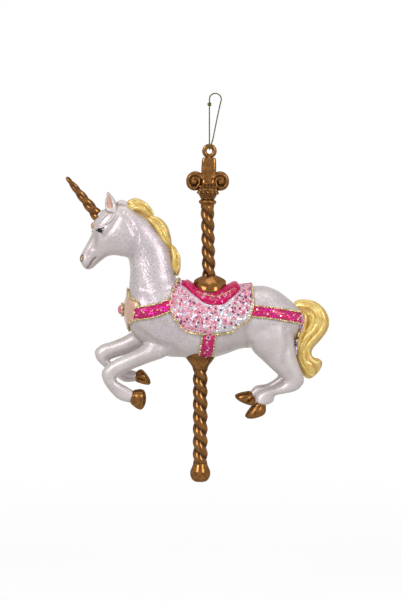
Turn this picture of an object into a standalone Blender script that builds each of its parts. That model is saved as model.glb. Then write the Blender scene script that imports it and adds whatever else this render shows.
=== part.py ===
"""Hanging ornament: a prancing unicorn with saddle and straps, held on two twisted poles under a cord loop.

World units are metres, +Z up, +X towards the tail, -Y the near side. The tables are in millimetres,
counted from the centre of the hanging eye's hole, so the whole ornament swings about that point.
"""

import math

import bmesh
import bpy
from mathutils import Vector
from mathutils.bvhtree import BVHTree
from mathutils.geometry import barycentric_transform

MM = 0.001
FAR_OUT = 60.0  # where rays towards the animal start

# Gaps
GLUE_GAP = 0.3  # between pieces that touch or are glued
DRAPE_GAP = 0.4  # between the body and what lies on its curved side
PEG_CLEARANCE = 0.3  # radial, round every peg in its socket

# Cord and knot
CORD_DIAMETER = 0.7
KNOT_DIAMETER = 2.3
KNOT_LENGTH = 1.9
LOOP_TOP = 28.35  # inner top of the loop above the eye's hole
LOOP_RADIUS = 2.95  # centre line of the loop's top bend

# Hanging eye
EYE_HOLE_RADIUS = 1.35
EYE_OUTER_RADIUS = 3.65
EYE_DEPTH = 2.0
EYE_STEM_RADIUS = 1.0
EYE_STEM_END_Z = -5.1  # end of the stem below the ring

# Finial and capital
FINIAL_LEAN = math.radians(2.1)
# Tongue and foot of the finial: height, half width, half depth
FINIAL_SECTIONS = (
    (-4.0, 3.1, 1.5),
    (-5.2, 3.6, 1.8),
    (-9.0, 3.75, 1.9),
    (-12.5, 3.2, 1.9),
    (-15.0, 2.2, 1.9),
    (-17.0, 3.2, 2.6),
    (-19.3, 4.8, 4.2),
)
FINIAL_BOTTOM_Z = FINIAL_SECTIONS[-1][0]
SCROLL_RADIUS = 4.75
SCROLL_DEPTH = 5.0
SCROLL_CENTRES = ((-6.8, -15.2), (6.1, -14.8))
# Scroll about its own axis: shares of its radius and of half its depth
SCROLL_PROFILE = (
    (0.13, -0.75),
    (0.27, -0.6),
    (0.44, -0.45),
    (0.63, -0.9),
    (0.82, -1.0),
    (0.95, -0.7),
    (1.0, 0.0),
    (0.95, 0.7),
    (0.82, 1.0),
    (0.63, 0.9),
    (0.44, 0.45),
    (0.27, 0.6),
    (0.13, 0.75),
)
CAPITAL_HEIGHT = 8.3
CAPITAL_TOP_RADIUS = 5.3
CAPITAL_WAIST_RADIUS = 3.2
COLLAR_RADIUS = 4.25

# Poles
TWIST_STARTS = 2
TWIST_LEAD = 12.5
TWIST_SIDES = 16
TWIST_RING_SPACING = 1.0
GROOVE_DEPTH = 0.9
UPPER_FIRST_BULGE = 2.9  # from the top of a pole to the first place where its strands stand out in front view
LOWER_FIRST_BULGE = 4.7
UPPER_POLE_RADIUS = 3.45
UPPER_POLE_LENGTH = 34.0
UPPER_POLE_LEAN = math.radians(-1.3)
LOWER_POLE_RADIUS = 3.8
LOWER_POLE_LENGTH = 46.0
LOWER_POLE_X = -4.6
SADDLE_TOP_Z = -62.17  # where the tables have the upper pole's end, so a longer pole lowers the animal
LOWER_POLE_TOP_Z = -109.3
PEG_RADIUS = 1.5
CAPITAL_PEG_LENGTH = 3.0
SADDLE_PEG_LENGTH = 19.0
BELLY_PEG_LENGTH = 18.0
FOOT_PEG_LENGTH = 4.0
FOOT_RADIUS = 5.1
FOOT_LENGTH = 10.0
FLANGE_RADIUS = 8.1
FLANGE_NECK_RADIUS = 2.9
FLANGE_RIM_THICKNESS = 0.9
CUP_RIM_RADIUS = 7.3
CUP_NECK_RADIUS = 3.75

# Saddle cloth, seat and straps
BLANKET_THICKNESS = 1.0
SEAT_THICKNESS = 1.1
CANTLE_RISE = 1.6  # extra height of the seat at its rear edge
POMMEL_RISE = 1.0  # extra height at its front edge
STRAP_THICKNESS = 0.9
BREAST_STRAP_WIDTH = 6.0
CRUPPER_STRAP_WIDTH = 5.2
GIRTH_STRAP_WIDTH = 6.4
TRIM_RADIUS = 0.45

# Breast plate and gems
PLATE_HALF_HEIGHT = 10.8
PLATE_HALF_WIDTH = 9.6
PLATE_THICKNESS = 1.0
PLATE_CENTRE_Z = -78.4
BREAST_GEM_Z = -79.1
BREAST_GEM_RADIUS = 2.6
BREAST_GEM_HEIGHT = 2.2
BREAST_BEZEL_RADIUS = 3.5
BREAST_BEZEL_HEIGHT = 1.1
BROW_GEM_RADIUS = 1.25
BROW_GEM_HEIGHT = 1.0
BROW_BEZEL_RADIUS = 1.8
BROW_BEZEL_HEIGHT = 0.5
BROW_GEM_PLACE = (-57.7, 0, -37.0)
BROW_GEM_OUTWARD = (-0.93, 0, 0.36)

# Horn, ears, hooves and tail
HORN_LENGTH = 24.5
HORN_RADIUS = 3.1
HORN_TIP_RADIUS = 0.7
HORN_TAPER = 0.6
HORN_BASE = (-56.0, -32.05)
HORN_TILT = math.atan2(-15.3, 19.1)
HORN_TURNS = 2.1
HORN_START_TURN = -0.07
HORN_GROOVE = 0.16  # share of the radius
HORN_PEG_RADIUS = 1.0
HORN_PEG_LENGTH = 3.2
EAR_SPREAD = 3.1
TAIL_PEG_RADIUS = 1.2
TAIL_PEG_LENGTH = 6.0
TAIL_PEG_START = (47.6, 0, -78.2)
TAIL_PEG_HEADING = (-0.86, 0, -0.5)

# Torso sections: x, top z, bottom z, half width
TORSO = (
    (-41.7, -75.8, -83.3, 3.5),
    (-40.2, -71.3, -87.8, 7.5),
    (-37.7, -67.8, -91.8, 10.0),
    (-33.7, -65.3, -95.3, 12.0),
    (-27.7, -63.8, -100.0, 13.2),
    (-21.2, -64.8, -102.5, 13.8),
    (-14.2, -66.6, -103.0, 14.0),
    (-7.2, -69.5, -103.5, 14.2),
    (0.3, -71.0, -103.5, 14.2),
    (7.8, -70.0, -101.5, 14.0),
    (15.3, -68.0, -98.8, 13.4),
    (21.3, -67.2, -98.3, 13.0),
    (28.3, -67.4, -98.8, 12.8),
    (34.3, -69.7, -98.3, 12.0),
    (39.3, -73.4, -96.8, 10.2),
    (42.8, -76.3, -94.3, 7.8),
    (45.6, -78.8, -88.8, 5.0),
    (46.8, -81.1, -86.1, 2.8),
)

# Limb, neck, mane and tail sections: first edge x, z, second edge x, z, centre y, half width
NECK_AND_HEAD = (
    (-39.7, -80.3, -11.7, -74.0, 0, 10.0),
    (-40.5, -72.3, -13.7, -66.6, 0, 9.8),
    (-40.0, -65.8, -16.7, -63.0, 0, 8.6),
    (-39.7, -61.3, -18.2, -55.3, 0, 7.8),
    (-39.7, -58.3, -20.9, -46.8, 0, 7.2),
    (-40.1, -55.3, -25.2, -40.5, 0, 6.8),
    (-40.7, -53.1, -30.4, -34.2, 0, 6.8),
    (-41.5, -52.9, -36.2, -30.0, 0, 6.8),
    (-43.2, -52.6, -42.7, -26.3, 0, 6.7),
    (-45.7, -52.1, -49.7, -27.6, 0, 6.5),
    (-48.5, -52.0, -55.2, -30.6, 0, 6.0),
    (-51.2, -52.7, -57.7, -35.3, 0, 5.4),
    (-54.2, -54.8, -58.7, -40.8, 0, 4.6),
    (-56.7, -57.0, -61.0, -45.6, 0, 3.9),
    (-58.7, -58.6, -63.2, -49.6, 0, 3.5),
    (-61.2, -59.1, -64.7, -52.6, 0, 3.0),
    (-63.0, -57.8, -64.6, -54.8, 0, 1.8),
)
FORE_LEG_NEAR = (
    (-29.7, -92.3, -16.7, -99.3, -3.5, 5.5),
    (-34.7, -97.6, -22.7, -102.8, -5.2, 5.2),
    (-40.7, -100.6, -30.7, -105.6, -6.0, 4.6),
    (-46.2, -103.3, -37.7, -108.3, -6.3, 4.2),
    (-51.0, -106.3, -43.7, -111.1, -6.3, 3.9),
    (-53.7, -110.1, -46.2, -113.0, -6.3, 3.7),
    (-53.0, -114.3, -46.1, -113.9, -6.3, 3.5),
    (-50.5, -118.3, -45.0, -115.0, -6.3, 3.2),
    (-46.7, -122.6, -41.7, -116.8, -6.3, 3.0),
    (-43.2, -124.5, -39.5, -118.1, -6.3, 3.0),
    (-39.1, -125.4, -37.7, -119.2, -6.3, 3.1),
)
FORE_LEG_FAR = (
    (-31.7, -85.3, -18.7, -96.3, 3.5, 5.0),
    (-36.7, -88.8, -26.7, -99.3, 5.0, 5.0),
    (-42.7, -92.6, -34.7, -100.8, 6.0, 4.4),
    (-48.7, -95.2, -42.7, -102.3, 6.3, 4.0),
    (-54.2, -96.9, -48.7, -104.1, 6.3, 3.7),
    (-57.7, -100.1, -50.2, -104.8, 6.3, 3.6),
    (-57.0, -104.1, -50.0, -105.3, 6.3, 3.4),
    (-54.2, -107.3, -48.7, -106.0, 6.3, 3.0),
    (-48.3, -112.2, -45.5, -107.1, 6.3, 2.9),
    (-42.7, -115.9, -40.7, -109.2, 6.3, 3.0),
    (-36.9, -115.5, -36.4, -110.4, 6.3, 3.0),
)
HIND_LEG_NEAR = (
    (18.3, -83.3, 41.3, -80.3, -5.0, 6.5),
    (19.3, -92.3, 42.0, -89.3, -6.0, 6.9),
    (21.3, -99.1, 42.3, -96.8, -6.3, 6.4),
    (26.3, -104.1, 43.0, -101.3, -6.5, 5.6),
    (31.3, -108.8, 44.8, -106.8, -6.5, 4.6),
    (35.0, -112.1, 46.7, -111.6, -6.5, 3.8),
    (37.0, -114.1, 47.0, -115.3, -6.5, 3.3),
    (36.0, -115.8, 43.3, -119.2, -6.5, 3.1),
    (32.5, -117.6, 37.0, -120.8, -6.5, 2.7),
    (27.3, -119.0, 32.8, -121.8, -6.5, 2.6),
    (23.5, -121.3, 31.7, -124.9, -6.5, 2.9),
    (22.8, -125.1, 27.9, -126.6, -6.5, 3.0),
)
HIND_LEG_FAR = (
    (18.3, -84.3, 40.3, -81.3, 5.0, 6.5),
    (19.3, -93.3, 40.8, -90.3, 6.0, 6.6),
    (21.3, -99.3, 40.8, -97.3, 6.3, 6.0),
    (26.3, -104.1, 41.3, -101.8, 6.5, 5.2),
    (30.8, -108.3, 42.1, -106.6, 6.5, 4.3),
    (34.0, -111.4, 43.1, -112.3, 6.5, 3.5),
    (34.3, -113.1, 40.8, -116.3, 6.5, 3.1),
    (29.0, -116.6, 33.3, -120.1, 6.5, 2.6),
    (23.5, -117.6, 28.5, -122.3, 6.5, 2.8),
    (20.4, -120.5, 23.3, -125.1, 6.5, 2.9),
)
# Sole of each hoof: first edge x, z, second edge x, z, half width
SOLES = {
    "fore_hoof_near": (-32.7, -129.1, -31.3, -119.4, 3.8),
    "fore_hoof_far": (-28.8, -117.3, -32.7, -109.8, 3.5),
    "hind_hoof_near": (16.9, -133.1, 26.6, -132.3, 3.9),
    "hind_hoof_far": (11.6, -123.0, 20.3, -128.2, 3.6),
}
TAIL = (
    (42.3, -75.2, 43.8, -80.3, 0, 2.4),
    (44.8, -73.9, 45.8, -81.3, 0, 3.2),
    (49.3, -73.8, 47.0, -82.3, 0, 4.2),
    (53.8, -75.3, 47.6, -83.0, 0, 4.6),
    (57.8, -78.8, 47.6, -84.5, 0, 4.8),
    (60.0, -84.1, 47.3, -86.3, 0, 4.8),
    (59.3, -89.3, 46.3, -88.6, 0, 4.8),
    (55.8, -94.3, 44.6, -91.8, 0, 4.6),
    (52.2, -98.3, 43.3, -96.3, 0, 4.4),
    (51.3, -100.8, 43.0, -101.3, 0, 4.2),
    (52.3, -102.8, 43.8, -105.8, 0, 4.2),
    (55.1, -103.7, 45.3, -109.6, 0, 4.0),
    (56.7, -105.8, 47.1, -112.6, 0, 3.4),
    (55.3, -109.6, 49.3, -113.8, 0, 2.4),
    (52.8, -112.3, 50.8, -113.6, 0, 1.2),
)
MANE = {
    "mane_poll_lock": (
        (-42.2, -26.8, -41.2, -28.8, 0, 1.0),
        (-40.2, -24.2, -38.7, -30.3, 0, 2.6),
        (-36.5, -23.3, -35.7, -31.8, 0, 3.4),
        (-32.1, -25.2, -33.7, -33.3, 0, 3.6),
        (-29.7, -28.6, -31.7, -34.3, 0, 3.0),
        (-28.0, -31.3, -29.5, -34.1, 0, 1.4),
    ),
    "mane_crest_lock": (
        (-31.7, -31.1, -31.7, -33.8, 0, 1.4),
        (-28.7, -31.8, -29.7, -37.1, 0, 2.8),
        (-24.6, -33.3, -27.5, -40.3, 0, 3.6),
        (-21.1, -36.9, -24.7, -44.3, 0, 3.8),
        (-19.3, -42.1, -22.2, -47.3, 0, 3.2),
        (-18.7, -46.8, -19.7, -49.3, 0, 1.4),
    ),
    "mane_withers_lock": (
        (-18.7, -46.3, -19.7, -48.1, 0, 1.4),
        (-16.5, -48.4, -20.0, -50.6, 0, 2.8),
        (-14.5, -53.1, -19.7, -54.3, 0, 3.6),
        (-14.3, -57.8, -19.2, -58.1, 0, 3.4),
        (-14.9, -60.6, -18.0, -60.6, 0, 2.2),
        (-15.6, -62.2, -16.7, -62.2, 0, 1.0),
    ),
}

# Lower outline of the saddle cloth and of the seat seen from the side, front to rear: x, z
BLANKET_EDGE = (
    (-19.2, -72.8),
    (-18.6, -80.5),
    (-15.7, -84.8),
    (-12.2, -88.3),
    (-8.0, -90.1),
    (-3.7, -90.5),
    (3.7, -90.5),
    (10.7, -89.4),
    (14.2, -86.6),
    (19.0, -83.8),
    (21.6, -77.0),
)
BLANKET_TOP_X = (-15.7, 20.9)
SEAT_EDGE = (
    (-12.0, -69.5),
    (-9.8, -71.2),
    (-6.7, -73.4),
    (-2.7, -76.2),
    (2.3, -77.1),
    (6.9, -76.7),
    (10.2, -74.4),
    (13.9, -71.6),
    (15.6, -69.6),
)
SEAT_TOP_X = (-12.6, 15.2)

# Strap centre lines seen from the side, away from the saddle cloth: x, z
BREAST_STRAP = ((-34.2, -80.4), (-27.0, -79.2))
BREAST_STRAP_REAR_Z = -76.8
CRUPPER_STRAP = ((30.0, -80.3), (37.0, -81.5), (42.4, -82.6))
CRUPPER_STRAP_FRONT_Z = -79.6
GIRTH_X = (-0.2, -1.9)  # at its upper and lower end
GIRTH_END_ANGLE = math.pi - 0.5  # round the barrel, from straight up
GIRTH_STEPS = 9
STRAP_STANDOFF = 2 * TRIM_RADIUS + 3 * GLUE_GAP  # from the saddle cloth's edge, past its trim

# The cord runs from inside the eye up its front, round the loop and down its back: x, y, z
CORD_ROUTE = (
    (0.10, -0.25, 0.80),
    (0.25, -1.08, 1.25),
    (0.50, -1.60, 2.50),
    (1.10, -1.52, 3.90),
    (1.75, -1.20, 6.00),
    (2.55, -0.85, 10.00),
    (3.55, -0.55, 14.90),
    (4.50, -0.35, 19.50),
    (5.35, -0.15, 23.30),
    (5.88, -0.05, 25.50),
    (5.60, 0.00, 27.10),
    (4.55, 0.00, 28.25),
    (2.95, 0.00, 28.70),
    (1.35, 0.00, 28.25),
    (0.30, 0.00, 27.10),
    (0.02, 0.05, 25.50),
    (0.00, 0.15, 23.30),
    (0.00, 0.35, 19.50),
    (0.00, 0.60, 14.90),
    (0.00, 0.90, 10.00),
    (0.00, 1.25, 6.00),
    (0.00, 1.52, 3.90),
    (0.00, 1.60, 2.50),
    (0.00, 1.12, 1.25),
    (0.00, 0.35, 0.80),
)
KNOT_ROUTE_INDEX = 16  # route point that the knot sits on

# Colours
PEARL = (0.62, 0.56, 0.59)
COPPER = (0.42, 0.21, 0.10)
GOLD_HAIR = (0.75, 0.46, 0.09)
PINK = (0.72, 0.02, 0.22)
SEQUIN_PINK = (0.80, 0.52, 0.60)
PEACH = (0.72, 0.42, 0.33)
TRIM_GOLD = (0.38, 0.28, 0.10)
GEM_PINK = (0.78, 0.20, 0.42)
CORD_GREEN = (0.16, 0.13, 0.05)


def clear_scene():
    for old in list(bpy.data.objects):
        bpy.data.objects.remove(old)


def material(name, colour, roughness=0.35, metallic=0.0):
    made = bpy.data.materials.new(name)
    made.use_nodes = True
    shader = made.node_tree.nodes["Principled BSDF"]
    shader.inputs["Base Color"].default_value = (*colour, 1.0)
    shader.inputs["Roughness"].default_value = roughness
    shader.inputs["Metallic"].default_value = metallic
    made.diffuse_color = (*colour, 1.0)
    return made


def add_object(name, mesh, finish=None, parent=None):
    made = bpy.data.objects.new(name, mesh)
    bpy.context.scene.collection.objects.link(made)
    if finish:
        mesh.materials.append(finish)
    made.parent = parent
    return made


def mesh_object(name, bm, finish=None, parent=None):
    bmesh.ops.recalc_face_normals(bm, faces=bm.faces)
    if bm.calc_volume(signed=True) < 0:
        bmesh.ops.reverse_faces(bm, faces=bm.faces)
    mesh = bpy.data.meshes.new(name)
    bm.to_mesh(mesh)
    bm.free()
    mesh.shade_smooth()
    mesh.set_sharp_from_angle(angle=math.radians(40))
    return add_object(name, mesh, finish, parent)


def evaluated_mesh(obj):
    bpy.context.view_layer.update()
    graph = bpy.context.evaluated_depsgraph_get()
    return bpy.data.meshes.new_from_object(obj.evaluated_get(graph), depsgraph=graph)


def boolean(obj, others, operation):
    """Joins or cuts obj with the others, which are used up."""
    for other in others:
        step = obj.modifiers.new(operation.title(), "BOOLEAN")
        step.operation = operation
        step.object = other
        step.solver = "EXACT"
    obj.data = evaluated_mesh(obj)
    obj.modifiers.clear()
    for other in others:
        bpy.data.objects.remove(other)
    return obj


def keep_largest(obj):
    """Drops the crumbs that a cut leaves beside the main piece."""
    bm = bmesh.new()
    bm.from_mesh(obj.data)
    left = set(bm.verts)
    groups = []
    while left:
        group = {left.pop()}
        waiting = list(group)
        while waiting:
            vert = waiting.pop()
            near = {e.other_vert(vert) for e in vert.link_edges} & left
            left -= near
            group |= near
            waiting.extend(near)
        groups.append(group)
    groups.sort(key=len)
    for group in groups[:-1]:
        bmesh.ops.delete(bm, geom=list(group), context="VERTS")
    bm.to_mesh(obj.data)
    bm.free()
    return obj


def catmull(before, start, end, after, t):
    """Point on the smooth curve between start and end, each a tuple of the same length."""
    return tuple(
        0.5 * (2 * b + (c - a) * t + (2 * a - 5 * b + 4 * c - d) * t * t + (3 * b - a - 3 * c + d) * t**3)
        for a, b, c, d in zip(before, start, end, after)
    )


def smooth_run(points, steps):
    """The points with steps - 1 more between each two, all on one smooth curve."""
    run = []
    last = len(points) - 1
    for i in range(last):
        around = (points[max(i - 1, 0)], points[i], points[i + 1], points[min(i + 2, last)])
        run.extend(catmull(*around, k / steps) for k in range(steps))
    run.append(tuple(points[last]))
    return run


def along(points, share):
    """Point at a share of the way through the list, by index."""
    at = share * (len(points) - 1)
    i = min(int(at), len(points) - 2)
    part = at - i
    return tuple(a + (b - a) * part for a, b in zip(points[i], points[i + 1]))


def skin_rings(rings, caps=True):
    """A tube through rings of equal length, with flat ends."""
    bm = bmesh.new()
    rows = [[bm.verts.new(Vector(p) * MM) for p in ring] for ring in rings]
    count = len(rows[0])
    for low, high in zip(rows, rows[1:]):
        for i in range(count):
            j = (i + 1) % count
            bm.faces.new((low[i], low[j], high[j], high[i]))
    if caps:
        bm.faces.new(reversed(rows[0]))
        bm.faces.new(rows[-1])
    return bm


def section_ring(section, sides, grow=0.0):
    """Ellipse through a section's two edges, grow millimetres larger all round."""
    x1, z1, x2, z2, y, half_width = section
    centre = Vector(((x1 + x2) / 2, y, (z1 + z2) / 2))
    reach = Vector((x2 - x1, 0, z2 - z1)) / 2
    reach *= 1 + grow / reach.length
    return [
        centre
        + reach * math.cos(turn)
        + Vector((0, (half_width + grow) * math.sin(turn), 0))
        for turn in (2 * math.pi * k / sides for k in range(sides))
    ]


def loft(name, sections, sides=14, steps=2, grow=0.0, finish=None, parent=None):
    """A limb through its sections. Grown, it also runs longer by the same amount at each end."""
    run = smooth_run(sections, steps)
    rings = [section_ring(section, sides, grow) for section in run]
    if grow:
        for end, inner in ((0, 1), (-1, -2)):
            middle = sum(rings[end], Vector()) / sides
            out = (middle - sum(rings[inner], Vector()) / sides).normalized() * grow
            rings[end] = [p + out for p in rings[end]]
    return mesh_object(name, skin_rings(rings), finish, parent)


def turned(name, profile, sides=24, finish=None, parent=None):
    """A round piece about Z from (radius, z) points that run up its outer side."""
    rings = [
        [(r * math.cos(a), r * math.sin(a), z) for a in (2 * math.pi * k / sides for k in range(sides))]
        for r, z in profile
    ]
    return mesh_object(name, skin_rings(rings), finish, parent)


def rod(name, radius, start, end, sides=20):
    """A plain round bar between two points, used as a peg or to cut its hole."""
    start, end = Vector(start), Vector(end)
    turn = (end - start).to_track_quat("Z", "Y").to_matrix()
    across = [
        turn @ Vector((radius * math.cos(a), radius * math.sin(a), 0))
        for a in (2 * math.pi * k / sides for k in range(sides))
    ]
    return mesh_object(name, skin_rings([[start + p for p in across], [end + p for p in across]]))


def twisted_pole(name, radius, length, first_bulge, top_peg, bottom_peg, finish, parent):
    """Rope-like pole hanging down from z = 0, with a plain peg at each end."""
    count = round(length / TWIST_RING_SPACING)
    rings = []

    def ring(r, z, groove):
        turn = -2 * math.pi * (z + first_bulge) / TWIST_LEAD
        line = []
        for k in range(TWIST_SIDES):
            a = 2 * math.pi * k / TWIST_SIDES
            reach = r - groove * (1 - abs(math.cos(TWIST_STARTS * a / 2)))
            line.append((reach * math.cos(a + turn), reach * math.sin(a + turn), z))
        return line

    rings.append(ring(PEG_RADIUS, top_peg, 0))
    rings.append(ring(PEG_RADIUS, 0, 0))
    for k in range(count + 1):
        rings.append(ring(radius, -length * k / count, GROOVE_DEPTH))
    rings.append(ring(PEG_RADIUS, -length, 0))
    rings.append(ring(PEG_RADIUS, -length - bottom_peg, 0))
    return mesh_object(name, skin_rings(rings), finish, parent)


def build_body(name, grow=0.0, finish=None, parent=None):
    """The cast animal: torso, neck with head, and four legs, joined."""
    torso_sections = [(x, top, x, bottom, 0, half) for x, top, bottom, half in TORSO]
    body = loft(name, torso_sections, 20, 2, grow, finish, parent)
    limbs = [
        loft(f"{name} {part}", sections, sides, 2, grow)
        for part, sections, sides in (
            ("neck", NECK_AND_HEAD, 16),
            ("fore near", FORE_LEG_NEAR, 10),
            ("fore far", FORE_LEG_FAR, 10),
            ("hind near", HIND_LEG_NEAR, 10),
            ("hind far", HIND_LEG_FAR, 10),
        )
    ]
    for limb in limbs:
        limb.parent = parent
    return boolean(body, limbs, "UNION")


class Surface:
    """Finds points on an object's outside, in millimetres of the ornament's own frame."""

    def __init__(self, obj):
        mesh = evaluated_mesh(obj)
        mesh.calc_loop_triangles()
        self.points = [v.co / MM for v in mesh.vertices]
        self.normals = [v.normal.copy() for v in mesh.vertices]
        self.triangles = [tuple(t.vertices) for t in mesh.loop_triangles]
        self.tree = BVHTree.FromPolygons(self.points, self.triangles)

    def hit(self, start, direction, offset=0.0):
        """Where a ray first meets the surface, moved out by the offset along the smooth normal."""
        place, _, index, _ = self.tree.ray_cast(Vector(start), Vector(direction).normalized())
        if place is None:
            raise ValueError(f"no surface from {tuple(start)} along {tuple(direction)}")
        return place + self.smooth_normal(place, index) * offset if offset else place

    def smooth_normal(self, place, index):
        corners = [self.points[i] for i in self.triangles[index]]
        normals = [self.normals[i] for i in self.triangles[index]]
        return barycentric_transform(place, *corners, *normals).normalized()

    def lifted(self, place, distance):
        """The place, moved straight out until it is at least this far from the surface."""
        near, normal, index, _ = self.tree.find_nearest(place)
        if (place - near).dot(normal) >= distance:
            return place
        return near + self.smooth_normal(near, index) * distance


def torso_axis_z(x):
    """Height of the barrel's middle at x."""
    for (x1, t1, b1, _), (x2, t2, b2, _) in zip(TORSO, TORSO[1:]):
        if x <= x2:
            part = max((x - x1) / (x2 - x1), 0)
            return (t1 + b1) / 2 + part * ((t2 + b2) - (t1 + b1)) / 2
    return (TORSO[-1][1] + TORSO[-1][2]) / 2


def on_barrel(surface, x, angle, offset):
    """Point offset outwards from the barrel at x, at an angle from straight up round its axis."""
    axis = Vector((x, 0, torso_axis_z(x)))
    out = Vector((0, math.sin(angle), math.cos(angle)))
    return surface.hit(axis + out * FAR_OUT, -out, offset)


def barrel_angle(surface, x, z, side):
    """Angle round the barrel's axis of the side point at height z."""
    place = surface.hit((x, side * FAR_OUT, z), (0, -side, 0))
    return math.atan2(place.y, z - torso_axis_z(x))


def sheet_solid(name, rows, finish, parent):
    """Closed sheet from a grid of (inner, outer) points."""
    bm = bmesh.new()
    inner = [[bm.verts.new(pair[0] * MM) for pair in row] for row in rows]
    outer = [[bm.verts.new(pair[1] * MM) for pair in row] for row in rows]
    last, width = len(rows) - 1, len(rows[0]) - 1
    for i in range(last):
        for j in range(width):
            bm.faces.new((outer[i][j], outer[i + 1][j], outer[i + 1][j + 1], outer[i][j + 1]))
            bm.faces.new((inner[i][j], inner[i][j + 1], inner[i + 1][j + 1], inner[i + 1][j]))
    rim = [(0, j) for j in range(width)] + [(i, width) for i in range(last)]
    rim += [(last, j) for j in range(width, 0, -1)] + [(i, 0) for i in range(last, 0, -1)]
    for (i, j), (k, m) in zip(rim, rim[1:] + rim[:1]):
        bm.faces.new((inner[i][j], inner[k][m], outer[k][m], outer[i][j]))
    return mesh_object(name, bm, finish, parent)


def saddle_grid(surface, edge, top_x, columns, rows):
    """Grid of (x, angle) from the near edge over the back to the far edge."""
    run = smooth_run(edge, 4)
    grid = []
    for i in range(columns + 1):
        share = i / columns
        x_low, z_low = along(run, share)
        x_top = top_x[0] + (top_x[1] - top_x[0]) * share
        low = barrel_angle(surface, x_low, z_low, -1)
        line = []
        for j in range(-rows, rows + 1):
            across = abs(j) / rows
            angle = -low * j / rows
            line.append((x_top + (x_low - x_top) * across, angle))
        grid.append(line)
    return grid


def seat_rise(x, angle):
    """Extra height of the seat over its pommel and cantle, fading down the sides."""
    fade = max(math.cos(angle * 1.6), 0) if abs(angle) < math.pi / 3.2 else 0
    front = math.exp(-(((x - SEAT_TOP_X[0]) / 3.5) ** 2)) * POMMEL_RISE
    rear = math.exp(-(((x - SEAT_TOP_X[1]) / 5.0) ** 2)) * CANTLE_RISE
    return (front + rear) * fade


def build_saddle(surface, finish, parent):
    grid = saddle_grid(surface, BLANKET_EDGE, BLANKET_TOP_X, 18, 8)
    top = DRAPE_GAP + BLANKET_THICKNESS
    blanket = sheet_solid(
        "saddle_blanket",
        [
            [(on_barrel(surface, x, a, DRAPE_GAP), on_barrel(surface, x, a, top)) for x, a in line]
            for line in grid
        ],
        finish["blanket"],
        parent,
    )
    seat_grid = saddle_grid(surface, SEAT_EDGE, SEAT_TOP_X, 12, 5)
    seat = sheet_solid(
        "saddle_seat",
        [
            [
                (
                    on_barrel(surface, x, a, top + DRAPE_GAP),
                    on_barrel(surface, x, a, top + DRAPE_GAP + SEAT_THICKNESS + seat_rise(x, a)),
                )
                for x, a in line
            ]
            for line in seat_grid
        ],
        finish["seat"],
        parent,
    )
    return blanket, seat, grid


def build_trim(surface, grid, finish, parent):
    """Cord of glitter round the saddle cloth's whole edge, just outside it."""
    lift = DRAPE_GAP + TRIM_RADIUS
    near = [line[0] for line in grid]
    far = [line[-1] for line in reversed(grid)]
    front = grid[0][-2:0:-1]
    rear = grid[-1][1:-1]
    loop = near + rear + far + front
    points = []
    for i, (x, angle) in enumerate(loop):
        ahead = on_barrel(surface, *loop[(i + 1) % len(loop)], lift)
        behind = on_barrel(surface, *loop[i - 1], lift)
        here = on_barrel(surface, x, angle, lift)
        outward = Vector((0, math.sin(angle), math.cos(angle)))
        side = (ahead - behind).normalized().cross(outward).normalized()
        points.append(here + side * lift)
    middle = sum(points, Vector()) / len(points)
    if (points[0] - middle).length < (on_barrel(surface, *loop[0], lift) - middle).length:
        points = [2 * on_barrel(surface, *loop[i], lift) - p for i, p in enumerate(points)]
    points = [surface.lifted(p, lift) for p in points]
    return tube("blanket_trim", points, TRIM_RADIUS, 1, finish, parent, closed=True)


def tube(name, points, radius, resolution, finish, parent, closed=False):
    curve = bpy.data.curves.new(name, "CURVE")
    curve.dimensions = "3D"
    curve.bevel_depth = radius * MM
    curve.bevel_resolution = resolution
    curve.use_fill_caps = not closed
    line = curve.splines.new("POLY")
    line.points.add(len(points) - 1)
    for point, place in zip(line.points, points):
        point.co = (*(Vector(place) * MM), 1)
    line.use_cyclic_u = closed
    line.use_smooth = True
    return add_object(name, curve, finish, parent)


def strap_on_side(name, surface, centre_line, width, side, finish, parent):
    """A strap that lies along the animal's side, with raised edges."""
    run = smooth_run(centre_line, 5)
    rows = []
    for x, z in run:
        row = []
        for k in range(-2, 3):
            ray = (x, side * FAR_OUT, z + width * k / 4), (0, -side, 0)
            row.append((surface.hit(*ray, DRAPE_GAP), surface.hit(*ray, DRAPE_GAP + STRAP_THICKNESS)))
        rows.append(row)
    return sheet_solid(name, rows, finish, parent)


def girth_strap(name, surface, side, finish, parent):
    """From the saddle cloth's lower edge down to the cup under the belly."""
    top_z = min(z for _, z in BLANKET_EDGE) - STRAP_STANDOFF
    start = abs(barrel_angle(surface, GIRTH_X[0], top_z, side))
    rows = []
    stop_y = CUP_RIM_RADIUS + 2 * GLUE_GAP
    for i in range(GIRTH_STEPS + 1):
        share = i / GIRTH_STEPS
        angle = side * (start + (GIRTH_END_ANGLE - start) * share)
        x = GIRTH_X[0] + (GIRTH_X[1] - GIRTH_X[0]) * share
        row = []
        for k in range(-2, 3):
            across = x + GIRTH_STRAP_WIDTH * k / 4
            row.append(
                (
                    on_barrel(surface, across, angle, DRAPE_GAP),
                    on_barrel(surface, across, angle, DRAPE_GAP + STRAP_THICKNESS),
                )
            )
        if min(abs(p.y) for pair in row for p in pair) > stop_y:
            rows.append(row)
    return sheet_solid(name, rows, finish, parent)


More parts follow.
